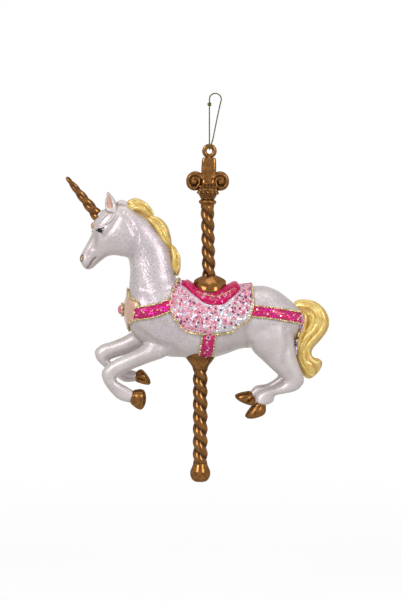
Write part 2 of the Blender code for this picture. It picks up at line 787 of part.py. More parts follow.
def build_flange(seat_surface, axis_x, top_z, finish, parent):
    """Skirt at the upper pole's foot, drooping over the seat."""
    sides, steps = 20, 4
    low, high = [], []
    for i in range(steps + 1):
        share = i / steps
        radius = PEG_RADIUS * 0.6 + (FLANGE_RADIUS - PEG_RADIUS * 0.6) * share
        under, over = [], []
        for k in range(sides):
            turn = 2 * math.pi * k / sides
            x = axis_x + radius * math.cos(turn)
            y = radius * math.sin(turn)
            seat = seat_surface.hit((x, y, 0), (0, 0, -1))
            base = seat.z + DRAPE_GAP
            reach = max((FLANGE_RADIUS - radius) / (FLANGE_RADIUS - FLANGE_NECK_RADIUS), 0)
            crown = top_z - base
            rise = FLANGE_RIM_THICKNESS + (crown - FLANGE_RIM_THICKNESS) * min(reach, 1) ** 1.25
            under.append((x, y, base))
            over.append((x, y, top_z if radius <= FLANGE_NECK_RADIUS else base + rise))
        low.append(under)
        high.append(over)
    rings = high + low[::-1]
    bm = skin_rings(rings + [rings[0]], caps=False)
    bmesh.ops.remove_doubles(bm, verts=bm.verts, dist=0.00001)
    return mesh_object("saddle_flange", bm, finish, parent)


def build_plate(surface, finish, parent):
    """Four-pointed breast plate bent round the chest."""
    rings = 5
    sides = 24
    rows = []

    def place(share, turn):
        point = abs(math.cos(turn)) ** 1.5, abs(math.sin(turn)) ** 1.5
        y = math.copysign(PLATE_HALF_WIDTH * share * point[0], math.cos(turn))
        z = PLATE_CENTRE_Z + math.copysign(PLATE_HALF_HEIGHT * share * point[1], math.sin(turn))
        ray = (-2 * FAR_OUT, y, z), (1, 0, 0)
        return surface.hit(*ray, DRAPE_GAP), surface.hit(*ray, DRAPE_GAP + PLATE_THICKNESS)

    bm = bmesh.new()
    for layer in (0, 1):
        middle = bm.verts.new(place(0, 0)[layer] * MM)
        loops = [
            [bm.verts.new(place(i / rings, 2 * math.pi * k / sides)[layer] * MM) for k in range(sides)]
            for i in range(1, rings + 1)
        ]
        for k in range(sides):
            bm.faces.new((middle, loops[0][k], loops[0][(k + 1) % sides]))
        for near, far in zip(loops, loops[1:]):
            for k in range(sides):
                m = (k + 1) % sides
                bm.faces.new((near[k], far[k], far[m], near[m]))
        rows.append(loops[-1])
    for k in range(sides):
        m = (k + 1) % sides
        bm.faces.new((rows[0][k], rows[1][k], rows[1][m], rows[0][m]))
    return mesh_object("breast_medallion", bm, finish, parent)


def stand_on(obj, place, outward):
    """Puts a turned piece's base at a place, facing outward."""
    obj.location = Vector(place) * MM
    obj.rotation_euler = Vector(outward).to_track_quat("Z", "Y").to_euler()


def gem_in_setting(names, place, outward, bezel, gem, finish, parent):
    """A domed stone in a shallow dish."""
    bezel_radius, bezel_height = bezel
    gem_radius, gem_height = gem
    floor = bezel_height * 0.35
    dish = turned(
        names[0],
        (
            (bezel_radius * 0.8, 0),
            (bezel_radius, bezel_height * 0.5),
            (gem_radius + GLUE_GAP, bezel_height),
            (gem_radius + GLUE_GAP, floor),
        ),
        16,
        finish["trim"],
        parent,
    )
    stone = turned(
        names[1],
        [(gem_radius, floor + GLUE_GAP)]
        + [
            (gem_radius * math.cos(a), floor + GLUE_GAP + 0.3 + gem_height * math.sin(a))
            for a in (math.radians(d) for d in (0, 30, 60, 85))
        ],
        16,
        finish["gem"],
        parent,
    )
    stand_on(dish, place, outward)
    stand_on(stone, place, outward)


def build_hoof(name, leg, finish, parent):
    """From the end of its leg, a gap below it, out to the sole."""
    x1, z1, x2, z2, y, half = leg[-1]
    sole_x1, sole_z1, sole_x2, sole_z2, sole_half = SOLES[name]
    full = (Vector((sole_x1 - x1, sole_z1 - z1)).length + Vector((sole_x2 - x2, sole_z2 - z2)).length) / 2
    rings = []
    for share in (GLUE_GAP / full, 0.35, 0.7, 0.92, 1.0):
        swell = 1 + 0.10 * math.sin(math.pi * share) if share < 1 else 0.9
        section = (
            x1 + (sole_x1 - x1) * share,
            z1 + (sole_z1 - z1) * share,
            x2 + (sole_x2 - x2) * share,
            z2 + (sole_z2 - z2) * share,
            y,
            (half + (sole_half - half) * share) * swell,
        )
        rings.append(section_ring(section, 14))
    return mesh_object(name, skin_rings(rings), finish, parent)


def build_ear(name, side, finish, parent):
    sections = (
        (-51.6, -29.6, -45.6, -29.6, side * EAR_SPREAD, 2.0),
        (-51.9, -26.5, -45.6, -26.5, side * EAR_SPREAD, 2.0),
        (-51.7, -23.8, -46.9, -24.0, side * (EAR_SPREAD + 0.2), 1.6),
        (-51.2, -21.8, -49.0, -22.2, side * (EAR_SPREAD + 0.3), 0.9),
        (-50.9, -20.4, -50.4, -20.5, side * (EAR_SPREAD + 0.3), 0.3),
    )
    return loft(name, sections, 12, 2, 0, finish, parent)


def build_horn(finish, parent):
    """Spiral horn on a peg, standing on the brow."""
    sides, count = 12, 24
    rings = []

    def ring(radius, height, turns, groove):
        out = []
        for k in range(sides):
            a = 2 * math.pi * k / sides
            ripple = 1 - groove * (0.5 - 0.5 * math.cos(2 * (a + 2 * math.pi * turns)))
            out.append((radius * ripple * math.cos(a), radius * ripple * math.sin(a), height))
        return out

    rings.append(ring(HORN_PEG_RADIUS, -HORN_PEG_LENGTH, 0, 0))
    rings.append(ring(HORN_PEG_RADIUS, 0, 0, 0))
    for i in range(count + 1):
        share = i / count
        radius = HORN_TIP_RADIUS + (HORN_RADIUS - HORN_TIP_RADIUS) * (1 - share) ** HORN_TAPER
        rings.append(ring(radius, HORN_LENGTH * share, HORN_START_TURN + HORN_TURNS * share, HORN_GROOVE))
    horn = mesh_object("horn", skin_rings(rings), finish, parent)
    horn.location = Vector((HORN_BASE[0], 0, HORN_BASE[1])) * MM
    horn.rotation_euler = (0, HORN_TILT, 0)
    return horn


def build_eye(finish, parent):
    """Round-sectioned ring on a short stem that stands in the finial."""
    ring_radius = (EYE_OUTER_RADIUS + EYE_HOLE_RADIUS) / 2
    across = (EYE_OUTER_RADIUS - EYE_HOLE_RADIUS) / 2
    around, section = 20, 8
    rings = [
        [
            (
                (ring_radius + across * math.cos(b)) * math.cos(a),
                EYE_DEPTH / 2 * math.sin(b),
                (ring_radius + across * math.cos(b)) * math.sin(a),
            )
            for b in (2 * math.pi * m / section for m in range(section))
        ]
        for a in (2 * math.pi * k / around for k in range(around))
    ]
    bm = skin_rings(rings + [rings[0]], caps=False)
    bmesh.ops.remove_doubles(bm, verts=bm.verts, dist=0.00001)
    eye = mesh_object("hanging_eye", bm, finish, parent)
    stem = rod("eye stem", EYE_STEM_RADIUS, (0, 0, -ring_radius), (0, 0, EYE_STEM_END_Z), 12)
    stem.parent = parent
    return boolean(eye, [stem], "UNION")


def build_finial(finish, parent):
    """Tongue between two scrolls, on a stem that stands in the capital."""
    tongue = loft(
        "finial",
        [(-half_x, z, half_x, z, 0, half_y) for z, half_x, half_y in FINIAL_SECTIONS],
        12,
        2,
        0,
        finish,
        parent,
    )
    profile = [(SCROLL_RADIUS * r, SCROLL_DEPTH / 2 * z) for r, z in SCROLL_PROFILE]
    scrolls = []
    for x, z in SCROLL_CENTRES:
        scroll = turned(f"scroll {x}", profile, 16)
        scroll.parent = parent
        scroll.location = Vector((x, 0, z)) * MM
        scroll.rotation_euler = (math.radians(90), 0, 0)
        scrolls.append(scroll)
    finial = boolean(tongue, scrolls, "UNION")
    peg_start, peg_end = FINIAL_SECTIONS[-2][0], FINIAL_BOTTOM_Z - CAPITAL_PEG_LENGTH
    peg = rod("finial peg", PEG_RADIUS, (0, 0, peg_start), (0, 0, peg_end))
    peg.parent = parent
    boolean(finial, [peg], "UNION")
    eye_socket = rod(
        "eye socket", EYE_STEM_RADIUS + PEG_CLEARANCE, (0, 0, 0), (0, 0, EYE_STEM_END_Z - PEG_CLEARANCE), 12
    )
    eye_socket.parent = parent
    return boolean(finial, [eye_socket], "DIFFERENCE")


def bored(obj, radius, start, end, parent):
    """Drills a round hole through obj between two points."""
    drill = rod(f"{obj.name} drill", radius, start, end)
    drill.parent = parent
    return boolean(obj, [drill], "DIFFERENCE")


def build_capital(finish, parent):
    top = FINIAL_BOTTOM_Z - GLUE_GAP
    bottom = top - CAPITAL_HEIGHT
    profile = (
        (UPPER_POLE_RADIUS * 0.94, 0.0),
        (COLLAR_RADIUS * 0.88, 0.19),
        (COLLAR_RADIUS, 0.29),
        (COLLAR_RADIUS, 0.37),
        (CAPITAL_WAIST_RADIUS, 0.48),
        (CAPITAL_WAIST_RADIUS * 1.12, 0.6),
        (CAPITAL_TOP_RADIUS * 0.87, 0.84),
        (CAPITAL_TOP_RADIUS, 0.95),
        (CAPITAL_TOP_RADIUS * 0.94, 1.0),
    )
    capital = turned(
        "capital",
        [(radius, bottom + CAPITAL_HEIGHT * share) for radius, share in profile],
        24,
        finish,
        parent,
    )
    hole = PEG_RADIUS + PEG_CLEARANCE
    return bored(capital, hole, (0, 0, top + 1), (0, 0, bottom - 1), parent)


def fit_to_body(piece, keep_out):
    """Cuts the grown body out of a piece that is glued to it."""
    boolean(piece, [keep_out], "DIFFERENCE")
    return keep_largest(piece)


def grown_copy(grown, name):
    copy = add_object(name, grown.data.copy())
    copy.parent = grown.parent
    return copy


def main():
    clear_scene()
    finish = {
        "body": material("pearl_paint", PEARL, 0.3, 0.1),
        "copper": material("copper_paint", COPPER, 0.35, 0.8),
        "hair": material("gold_hair_paint", GOLD_HAIR, 0.35, 0.3),
        "seat": material("seat_pink", PINK, 0.25, 0.1),
        "strap": material("strap_pink", PINK, 0.45, 0.2),
        "blanket": material("sequin_pink", SEQUIN_PINK, 0.4, 0.1),
        "plate": material("peach_paint", PEACH, 0.35, 0.2),
        "trim": material("gold_glitter", TRIM_GOLD, 0.5, 0.6),
        "gem": material("pink_gem", GEM_PINK, 0.1, 0.0),
        "cord": material("green_cord", CORD_GREEN, 0.8, 0.0),
    }
    pivot_x = -LOOP_RADIUS
    pivot_z = -LOOP_TOP
    loop_frame = bpy.data.objects.new("loop_frame", None)
    ornament = bpy.data.objects.new("ornament_pivot", None)
    animal = bpy.data.objects.new("animal_frame", None)
    finial_frame = bpy.data.objects.new("finial_frame", None)
    for empty in (loop_frame, ornament, finial_frame, animal):
        bpy.context.scene.collection.objects.link(empty)
    loop_frame.location = (pivot_x * MM, 0, pivot_z * MM)
    finial_frame.rotation_euler = (0, FINIAL_LEAN, 0)

    route = smooth_run(CORD_ROUTE, 2)
    tube("hanging_cord", route, CORD_DIAMETER / 2, 2, finish["cord"], loop_frame)
    knot = turned(
        "cord_knot",
        (
            (KNOT_DIAMETER * 0.34, -KNOT_LENGTH / 2),
            (KNOT_DIAMETER / 2, -KNOT_LENGTH / 5),
            (KNOT_DIAMETER / 2, KNOT_LENGTH / 5),
            (KNOT_DIAMETER * 0.34, KNOT_LENGTH / 2),
        ),
        14,
        finish["cord"],
        loop_frame,
    )
    at = Vector(CORD_ROUTE[KNOT_ROUTE_INDEX])
    heading = Vector(CORD_ROUTE[KNOT_ROUTE_INDEX - 1]) - Vector(CORD_ROUTE[KNOT_ROUTE_INDEX + 1])
    knot.location = at * MM
    knot.rotation_euler = heading.to_track_quat("Z", "Y").to_euler()
    bore = CORD_DIAMETER / 2 + PEG_CLEARANCE / 2
    reach = heading.normalized() * KNOT_LENGTH
    hole = rod("knot hole", bore, at - reach, at + reach, 12)
    hole.parent = loop_frame
    boolean(knot, [hole], "DIFFERENCE")

    build_eye(finish["copper"], finial_frame)
    build_finial(finish["copper"], finial_frame)
    build_capital(finish["copper"], finial_frame)

    capital_bottom = FINIAL_BOTTOM_Z - GLUE_GAP - CAPITAL_HEIGHT
    pole_top = Vector((math.sin(FINIAL_LEAN), 0, math.cos(FINIAL_LEAN))) * (capital_bottom - GLUE_GAP)
    upper_pole = twisted_pole(
        "upper_pole",
        UPPER_POLE_RADIUS,
        UPPER_POLE_LENGTH,
        UPPER_FIRST_BULGE,
        CAPITAL_PEG_LENGTH,
        SADDLE_PEG_LENGTH,
        finish["copper"],
        ornament,
    )
    upper_pole.location = pole_top * MM
    upper_pole.rotation_euler = (0, UPPER_POLE_LEAN, 0)
    down = Vector((-math.sin(UPPER_POLE_LEAN), 0, -math.cos(UPPER_POLE_LEAN)))
    pole_end = pole_top + down * UPPER_POLE_LENGTH
    animal.parent = ornament
    animal.location.z = (pole_end.z - SADDLE_TOP_Z) * MM
    pole_foot_place = Vector((pole_end.x, 0, SADDLE_TOP_Z))
    peg_end = pole_foot_place + down * (SADDLE_PEG_LENGTH + PEG_CLEARANCE)
    hole_radius = PEG_RADIUS + PEG_CLEARANCE

    body = build_body("horse_body", 0.0, finish["body"], animal)
    surface = Surface(body)
    blanket, seat, grid = build_saddle(surface, finish, animal)
    build_trim(surface, grid, finish["trim"], animal)
    blanket_front = min(x for x, _ in BLANKET_EDGE)
    blanket_rear = max(x for x, _ in BLANKET_EDGE)
    breast_line = (*BREAST_STRAP, (blanket_front - STRAP_STANDOFF, BREAST_STRAP_REAR_Z))
    crupper_line = ((blanket_rear + STRAP_STANDOFF, CRUPPER_STRAP_FRONT_Z), *CRUPPER_STRAP)
    for side, word in ((-1, "near"), (1, "far")):
        strap_on_side(
            f"breast_strap_{word}", surface, breast_line, BREAST_STRAP_WIDTH, side, finish["strap"], animal
        )
        strap_on_side(
            f"crupper_strap_{word}", surface, crupper_line, CRUPPER_STRAP_WIDTH, side, finish["strap"], animal
        )
        girth_strap(f"girth_strap_{word}", surface, side, finish["strap"], animal)
    build_plate(surface, finish["plate"], animal)
    chest = surface.hit((-2 * FAR_OUT, 0, BREAST_GEM_Z), (1, 0, 0))
    gem_in_setting(
        ("breast_gem_setting", "breast_gem"),
        chest + Vector((-DRAPE_GAP - PLATE_THICKNESS - GLUE_GAP, 0, 0)),
        (-1, 0, 0),
        (BREAST_BEZEL_RADIUS, BREAST_BEZEL_HEIGHT),
        (BREAST_GEM_RADIUS, BREAST_GEM_HEIGHT),
        finish,
        animal,
    )
    brow_out = Vector(BROW_GEM_OUTWARD)
    brow = surface.hit(Vector(BROW_GEM_PLACE) + brow_out * 20, -brow_out)
    gem_in_setting(
        ("forehead_gem_setting", "forehead_gem"),
        brow + brow_out * GLUE_GAP,
        brow_out,
        (BROW_BEZEL_RADIUS, BROW_BEZEL_HEIGHT),
        (BROW_GEM_RADIUS, BROW_GEM_HEIGHT),
        finish,
        animal,
    )

    seat_surface = Surface(seat)
    flange_x = pole_foot_place.x + down.x * 4
    flange = build_flange(seat_surface, flange_x, pole_foot_place.z - GLUE_GAP, finish["copper"], animal)
    for piece in (flange, seat, blanket, body):
        bored(piece, hole_radius, pole_foot_place - down * 2, peg_end, animal)

    lower_pole = twisted_pole(
        "lower_pole",
        LOWER_POLE_RADIUS,
        LOWER_POLE_LENGTH,
        LOWER_FIRST_BULGE,
        BELLY_PEG_LENGTH,
        FOOT_PEG_LENGTH,
        finish["copper"],
        animal,
    )
    lower_pole.location = (LOWER_POLE_X * MM, 0, LOWER_POLE_TOP_Z * MM)
    peg_top = LOWER_POLE_TOP_Z + BELLY_PEG_LENGTH + PEG_CLEARANCE
    cup = turned(
        "belly_cup",
        (
            (CUP_NECK_RADIUS, LOWER_POLE_TOP_Z + GLUE_GAP),
            (CUP_NECK_RADIUS + 0.1, LOWER_POLE_TOP_Z + 1.0),
            (CUP_RIM_RADIUS - 1.3, LOWER_POLE_TOP_Z + 3.8),
            (CUP_RIM_RADIUS, LOWER_POLE_TOP_Z + 6.0),
            (CUP_RIM_RADIUS, LOWER_POLE_TOP_Z + 12.0),
        ),
        24,
        finish["copper"],
        animal,
    )
    cup.location = (LOWER_POLE_X * MM, 0, 0)
    bored(body, hole_radius, (LOWER_POLE_X, 0, peg_top), (LOWER_POLE_X, 0, LOWER_POLE_TOP_Z), animal)

    foot_top = LOWER_POLE_TOP_Z - LOWER_POLE_LENGTH - GLUE_GAP
    foot = turned(
        "pole_foot",
        [
            (FOOT_RADIUS * 0.55, foot_top - FOOT_LENGTH),
            (FOOT_RADIUS * 0.78, foot_top - FOOT_LENGTH + 0.6),
            (FOOT_RADIUS * 0.96, foot_top - FOOT_LENGTH + 2.4),
            (FOOT_RADIUS, foot_top - FOOT_LENGTH * 0.55),
            (FOOT_RADIUS * 0.97, foot_top - 2.8),
            (FOOT_RADIUS * 0.80, foot_top - 0.9),
            (LOWER_POLE_RADIUS - 0.3, foot_top),
        ],
        24,
        finish["copper"],
        animal,
    )
    foot.location = (LOWER_POLE_X * MM, 0, 0)
    foot_hole_end = foot_top - FOOT_PEG_LENGTH - PEG_CLEARANCE
    bored(foot, hole_radius, (LOWER_POLE_X, 0, foot_top + 1), (LOWER_POLE_X, 0, foot_hole_end), animal)

    horn_up = Vector((math.sin(HORN_TILT), 0, math.cos(HORN_TILT)))
    horn_base = Vector((HORN_BASE[0], 0, HORN_BASE[1]))
    build_horn(finish["copper"], animal)
    socket = rod(
        "horn socket",
        HORN_PEG_RADIUS + PEG_CLEARANCE,
        horn_base + horn_up * 6,
        horn_base - horn_up * (HORN_PEG_LENGTH + PEG_CLEARANCE),
        14,
    )
    face_start, face_end = horn_base - horn_up * GLUE_GAP, horn_base + horn_up * 8
    seat_face = rod("horn seat", HORN_RADIUS + 1.2, face_start, face_end, 20)
    for cutter in (socket, seat_face):
        cutter.parent = animal
    boolean(body, [socket, seat_face], "DIFFERENCE")

    grown = build_body("grown body", DRAPE_GAP, None, animal)
    fit_to_body(cup, grown_copy(grown, "cup keep out"))
    bored(cup, hole_radius, (LOWER_POLE_X, 0, peg_top), (LOWER_POLE_X, 0, LOWER_POLE_TOP_Z - 1), animal)
    for side, word in ((-1, "near"), (1, "far")):
        ear = build_ear(f"ear_{word}", side, finish["body"], animal)
        fit_to_body(ear, grown_copy(grown, "ear keep out"))
    previous = None
    for name, sections in MANE.items():
        lock = loft(name, sections, 12, 2, 0, finish["hair"], animal)
        cutters = [grown_copy(grown, "mane keep out")]
        if previous:
            cutters.append(loft("lock keep out", MANE[previous], 12, 2, GLUE_GAP, None, animal))
        boolean(lock, cutters, "DIFFERENCE")
        keep_largest(lock)
        previous = name
    tail = loft("tail", TAIL, 12, 2, 0, finish["hair"], animal)
    fit_to_body(tail, grown_copy(grown, "tail keep out"))
    peg_start = Vector(TAIL_PEG_START)
    heading = Vector(TAIL_PEG_HEADING)
    tail_peg = rod("tail peg", TAIL_PEG_RADIUS, peg_start, peg_start + heading * TAIL_PEG_LENGTH, 14)
    tail_peg.parent = animal
    boolean(tail, [tail_peg], "UNION")
    bored(
        body,
        TAIL_PEG_RADIUS + PEG_CLEARANCE,
        peg_start,
        peg_start + heading * (TAIL_PEG_LENGTH + PEG_CLEARANCE),
        animal,
    )
    for name, leg in (
        ("fore_hoof_near", FORE_LEG_NEAR),
        ("fore_hoof_far", FORE_LEG_FAR),
        ("hind_hoof_near", HIND_LEG_NEAR),
        ("hind_hoof_far", HIND_LEG_FAR),
    ):
        build_hoof(name, leg, finish["copper"], animal)
    bpy.data.objects.remove(grown)

    ornament.location = (pivot_x * MM, 0, pivot_z * MM)
    finial_frame.location = ornament.location


main()
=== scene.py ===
"""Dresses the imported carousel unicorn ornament: cast forms, paint, glitter, sequins, gems and its thread.

Tables and points are in millimetres from the centre of the hanging eye's hole. The head looks along -X and
the near side faces -Y. PIVOT moves the points into the row frame.
"""

import math
import random

import bpy
import numpy as np
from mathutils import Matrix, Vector
from mathutils.bvhtree import BVHTree


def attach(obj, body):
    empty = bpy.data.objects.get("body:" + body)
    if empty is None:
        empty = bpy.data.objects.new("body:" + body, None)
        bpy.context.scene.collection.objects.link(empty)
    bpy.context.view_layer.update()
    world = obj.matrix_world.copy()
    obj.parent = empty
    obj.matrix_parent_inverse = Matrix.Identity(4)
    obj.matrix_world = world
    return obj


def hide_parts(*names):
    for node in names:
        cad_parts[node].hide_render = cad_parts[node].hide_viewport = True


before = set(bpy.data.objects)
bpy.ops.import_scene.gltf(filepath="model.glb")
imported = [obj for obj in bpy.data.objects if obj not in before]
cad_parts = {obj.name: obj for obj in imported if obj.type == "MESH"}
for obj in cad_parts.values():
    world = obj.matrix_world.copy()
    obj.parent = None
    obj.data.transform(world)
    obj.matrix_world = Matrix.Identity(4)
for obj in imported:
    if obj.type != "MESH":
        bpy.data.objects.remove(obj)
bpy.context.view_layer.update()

MM = 0.001
PIVOT = np.array((-2.95, 0.0, -28.35))
# A distance from which a ray reaches every surface
FAR = 60.0
# Sides of the animal: sign of Y and name
SIDES = ((-1, "near"), (1, "far"))
rng = random.Random(7)

# Outline sections of the animal: first edge x, z, second edge x, z, centre y, half width
TORSO = (
    (-41.7, -75.8, -41.7, -83.3, 0, 3.5),
    (-40.2, -71.3, -40.2, -87.8, 0, 7.5),
    (-37.7, -67.8, -37.7, -91.8, 0, 10.0),
    (-33.7, -65.3, -33.7, -95.3, 0, 12.0),
    (-27.7, -63.8, -27.7, -100.0, 0, 13.2),
    (-21.2, -64.8, -21.2, -102.5, 0, 13.8),
    (-14.2, -66.6, -14.2, -103.0, 0, 14.0),
    (-7.2, -69.5, -7.2, -103.5, 0, 14.2),
    (0.3, -71.0, 0.3, -103.5, 0, 14.2),
    (7.8, -70.0, 7.8, -101.5, 0, 14.0),
    (15.3, -68.0, 15.3, -98.8, 0, 13.4),
    (21.3, -67.2, 21.3, -98.3, 0, 13.0),
    (28.3, -67.4, 28.3, -98.8, 0, 12.8),
    (34.3, -69.7, 34.3, -98.3, 0, 12.0),
    (39.3, -73.4, 39.3, -96.8, 0, 10.2),
    (42.8, -76.3, 42.8, -94.3, 0, 7.8),
    (45.6, -78.8, 45.6, -88.8, 0, 5.0),
    (46.8, -81.1, 46.8, -86.1, 0, 2.8),
)
NECK_AND_HEAD = (
    (-39.7, -80.3, -11.7, -74.0, 0, 10.0),
    (-40.5, -72.3, -13.7, -66.6, 0, 9.8),
    (-40.0, -65.8, -16.7, -63.0, 0, 8.6),
    (-39.7, -61.3, -18.2, -55.3, 0, 7.8),
    (-39.7, -58.3, -20.9, -46.8, 0, 7.2),
    (-40.1, -55.3, -25.2, -40.5, 0, 6.8),
    (-40.7, -53.1, -30.4, -34.2, 0, 6.8),
    (-41.5, -52.9, -36.2, -30.0, 0, 6.8),
    (-43.2, -52.6, -42.7, -26.3, 0, 6.7),
    (-45.7, -52.1, -49.7, -27.6, 0, 6.5),
    (-48.5, -52.0, -55.2, -30.6, 0, 6.0),
    (-51.2, -52.7, -57.7, -35.3, 0, 5.4),
    (-54.2, -54.8, -58.7, -40.8, 0, 4.6),
    (-56.7, -57.0, -61.0, -45.6, 0, 3.9),
    (-58.7, -58.6, -63.2, -49.6, 0, 3.5),
    (-61.2, -59.1, -64.7, -52.6, 0, 3.0),
    (-63.0, -57.8, -64.6, -54.8, 0, 1.8),
)
FORE_LEG_NEAR = (
    (-29.7, -92.3, -16.7, -99.3, -3.5, 5.5),
    (-34.7, -97.6, -22.7, -102.8, -5.2, 5.2),
    (-40.7, -100.6, -30.7, -105.6, -6.0, 4.6),
    (-46.2, -103.3, -37.7, -108.3, -6.3, 4.2),
    (-51.0, -106.3, -43.7, -111.1, -6.3, 3.9),
    (-53.7, -110.1, -46.2, -113.0, -6.3, 3.7),
    (-53.0, -114.3, -46.1, -113.9, -6.3, 3.5),
    (-50.5, -118.3, -45.0, -115.0, -6.3, 3.2),
    (-46.7, -122.6, -41.7, -116.8, -6.3, 3.0),
    (-43.2, -124.5, -39.5, -118.1, -6.3, 3.0),
    (-39.1, -125.4, -37.7, -119.2, -6.3, 3.1),
)
FORE_LEG_FAR = (
    (-31.7, -85.3, -18.7, -96.3, 3.5, 5.0),
    (-36.7, -88.8, -26.7, -99.3, 5.0, 5.0),
    (-42.7, -92.6, -34.7, -100.8, 6.0, 4.4),
    (-48.7, -95.2, -42.7, -102.3, 6.3, 4.0),
    (-54.2, -96.9, -48.7, -104.1, 6.3, 3.7),
    (-57.7, -100.1, -50.2, -104.8, 6.3, 3.6),
    (-57.0, -104.1, -50.0, -105.3, 6.3, 3.4),
    (-54.2, -107.3, -48.7, -106.0, 6.3, 3.0),
    (-48.3, -112.2, -45.5, -107.1, 6.3, 2.9),
    (-42.7, -115.9, -40.7, -109.2, 6.3, 3.0),
    (-36.9, -115.5, -36.4, -110.4, 6.3, 3.0),
)
HIND_LEG_NEAR = (
    (18.3, -83.3, 41.3, -80.3, -5.0, 6.5),
    (19.3, -92.3, 42.0, -89.3, -6.0, 6.9),
    (21.3, -99.1, 42.3, -96.8, -6.3, 6.4),
    (26.3, -104.1, 43.0, -101.3, -6.5, 5.6),
    (31.3, -108.8, 44.8, -106.8, -6.5, 4.6),
    (35.0, -112.1, 46.7, -111.6, -6.5, 3.8),
    (37.0, -114.1, 47.0, -115.3, -6.5, 3.3),
    (36.0, -115.8, 43.3, -119.2, -6.5, 3.1),
    (32.5, -117.6, 37.0, -120.8, -6.5, 2.7),
    (27.3, -119.0, 32.8, -121.8, -6.5, 2.6),
    (23.5, -121.3, 31.7, -124.9, -6.5, 2.9),
    (22.8, -125.1, 27.9, -126.6, -6.5, 3.0),
)
HIND_LEG_FAR = (
    (18.3, -84.3, 40.3, -81.3, 5.0, 6.5),
    (19.3, -93.3, 40.8, -90.3, 6.0, 6.6),
    (21.3, -99.3, 40.8, -97.3, 6.3, 6.0),
    (26.3, -104.1, 41.3, -101.8, 6.5, 5.2),
    (30.8, -108.3, 42.1, -106.6, 6.5, 4.3),
    (34.0, -111.4, 43.1, -112.3, 6.5, 3.5),
    (34.3, -113.1, 40.8, -116.3, 6.5, 3.1),
    (29.0, -116.6, 33.3, -120.1, 6.5, 2.6),
    (23.5, -117.6, 28.5, -122.3, 6.5, 2.8),
    (20.4, -120.5, 23.3, -125.1, 6.5, 2.9),
)
# Sole of each hoof: leg, then first edge x, z, second edge x, z, half width
HOOVES = {
    "fore_hoof_near": (FORE_LEG_NEAR, (-32.7, -129.1, -31.3, -119.4, 3.8)),
    "fore_hoof_far": (FORE_LEG_FAR, (-28.8, -117.3, -32.7, -109.8, 3.5)),
    "hind_hoof_near": (HIND_LEG_NEAR, (16.9, -133.1, 26.6, -132.3, 3.9)),
    "hind_hoof_far": (HIND_LEG_FAR, (11.6, -123.0, 20.3, -128.2, 3.6)),
}
TAIL = (
    (42.3, -75.2, 43.8, -80.3, 0, 2.4),
    (44.8, -73.9, 45.8, -81.3, 0, 3.2),
    (49.3, -73.8, 47.0, -82.3, 0, 4.2),
    (53.8, -75.3, 47.6, -83.0, 0, 4.6),
    (57.8, -78.8, 47.6, -84.5, 0, 4.8),
    (60.0, -84.1, 47.3, -86.3, 0, 4.8),
    (59.3, -89.3, 46.3, -88.6, 0, 4.8),
    (55.8, -94.3, 44.6, -91.8, 0, 4.6),
    (52.2, -98.3, 43.3, -96.3, 0, 4.4),
    (51.3, -100.8, 43.0, -101.3, 0, 4.2),
    (52.3, -102.8, 43.8, -105.8, 0, 4.2),
    (55.1, -103.7, 45.3, -109.6, 0, 4.0),
    (56.7, -105.8, 47.1, -112.6, 0, 3.4),
    (55.3, -109.6, 49.3, -113.8, 0, 2.4),
    (52.8, -112.3, 50.8, -113.6, 0, 1.2),
)
MANE = {
    "mane_poll_lock": (
        (-42.2, -26.8, -41.2, -28.8, 0, 1.0),
        (-40.2, -24.2, -38.7, -30.3, 0, 2.6),
        (-36.5, -23.3, -35.7, -31.8, 0, 3.4),
        (-32.1, -25.2, -33.7, -33.3, 0, 3.6),
        (-29.7, -28.6, -31.7, -34.3, 0, 3.0),
        (-28.0, -31.3, -29.5, -34.1, 0, 1.4),
    ),
    "mane_crest_lock": (
        (-31.7, -31.1, -31.7, -33.8, 0, 1.4),
        (-28.7, -31.8, -29.7, -37.1, 0, 2.8),
        (-24.6, -33.3, -27.5, -40.3, 0, 3.6),
        (-21.1, -36.9, -24.7, -44.3, 0, 3.8),
        (-19.3, -42.1, -22.2, -47.3, 0, 3.2),
        (-18.7, -46.8, -19.7, -49.3, 0, 1.4),
    ),
    "mane_withers_lock": (
        (-18.7, -46.3, -19.7, -48.1, 0, 1.4),
        (-16.5, -48.4, -20.0, -50.6, 0, 2.8),
        (-14.5, -53.1, -19.7, -54.3, 0, 3.6),
        (-14.3, -57.8, -19.2, -58.1, 0, 3.4),
        (-14.9, -60.6, -18.0, -60.6, 0, 2.2),
        (-15.6, -62.2, -16.7, -62.2, 0, 1.0),
    ),
}
# Sculpted swellings of the animal: x, z, radius, height
SWELLINGS = (
    (-46.5, -44.5, 6.5, 0.9), (-54.3, -38.6, 2.3, 0.55), (-60.8, -49.5, 3.0, 0.35),
    (-62.6, -55.2, 2.2, 0.35), (-29.0, -79.0, 9.0, 0.7), (-27.0, -93.0, 7.0, 0.5),
    (31.0, -84.0, 10.0, 0.8), (27.0, -97.0, 6.0, 0.6), (-35.5, -60.0, 6.0, 0.4),
)
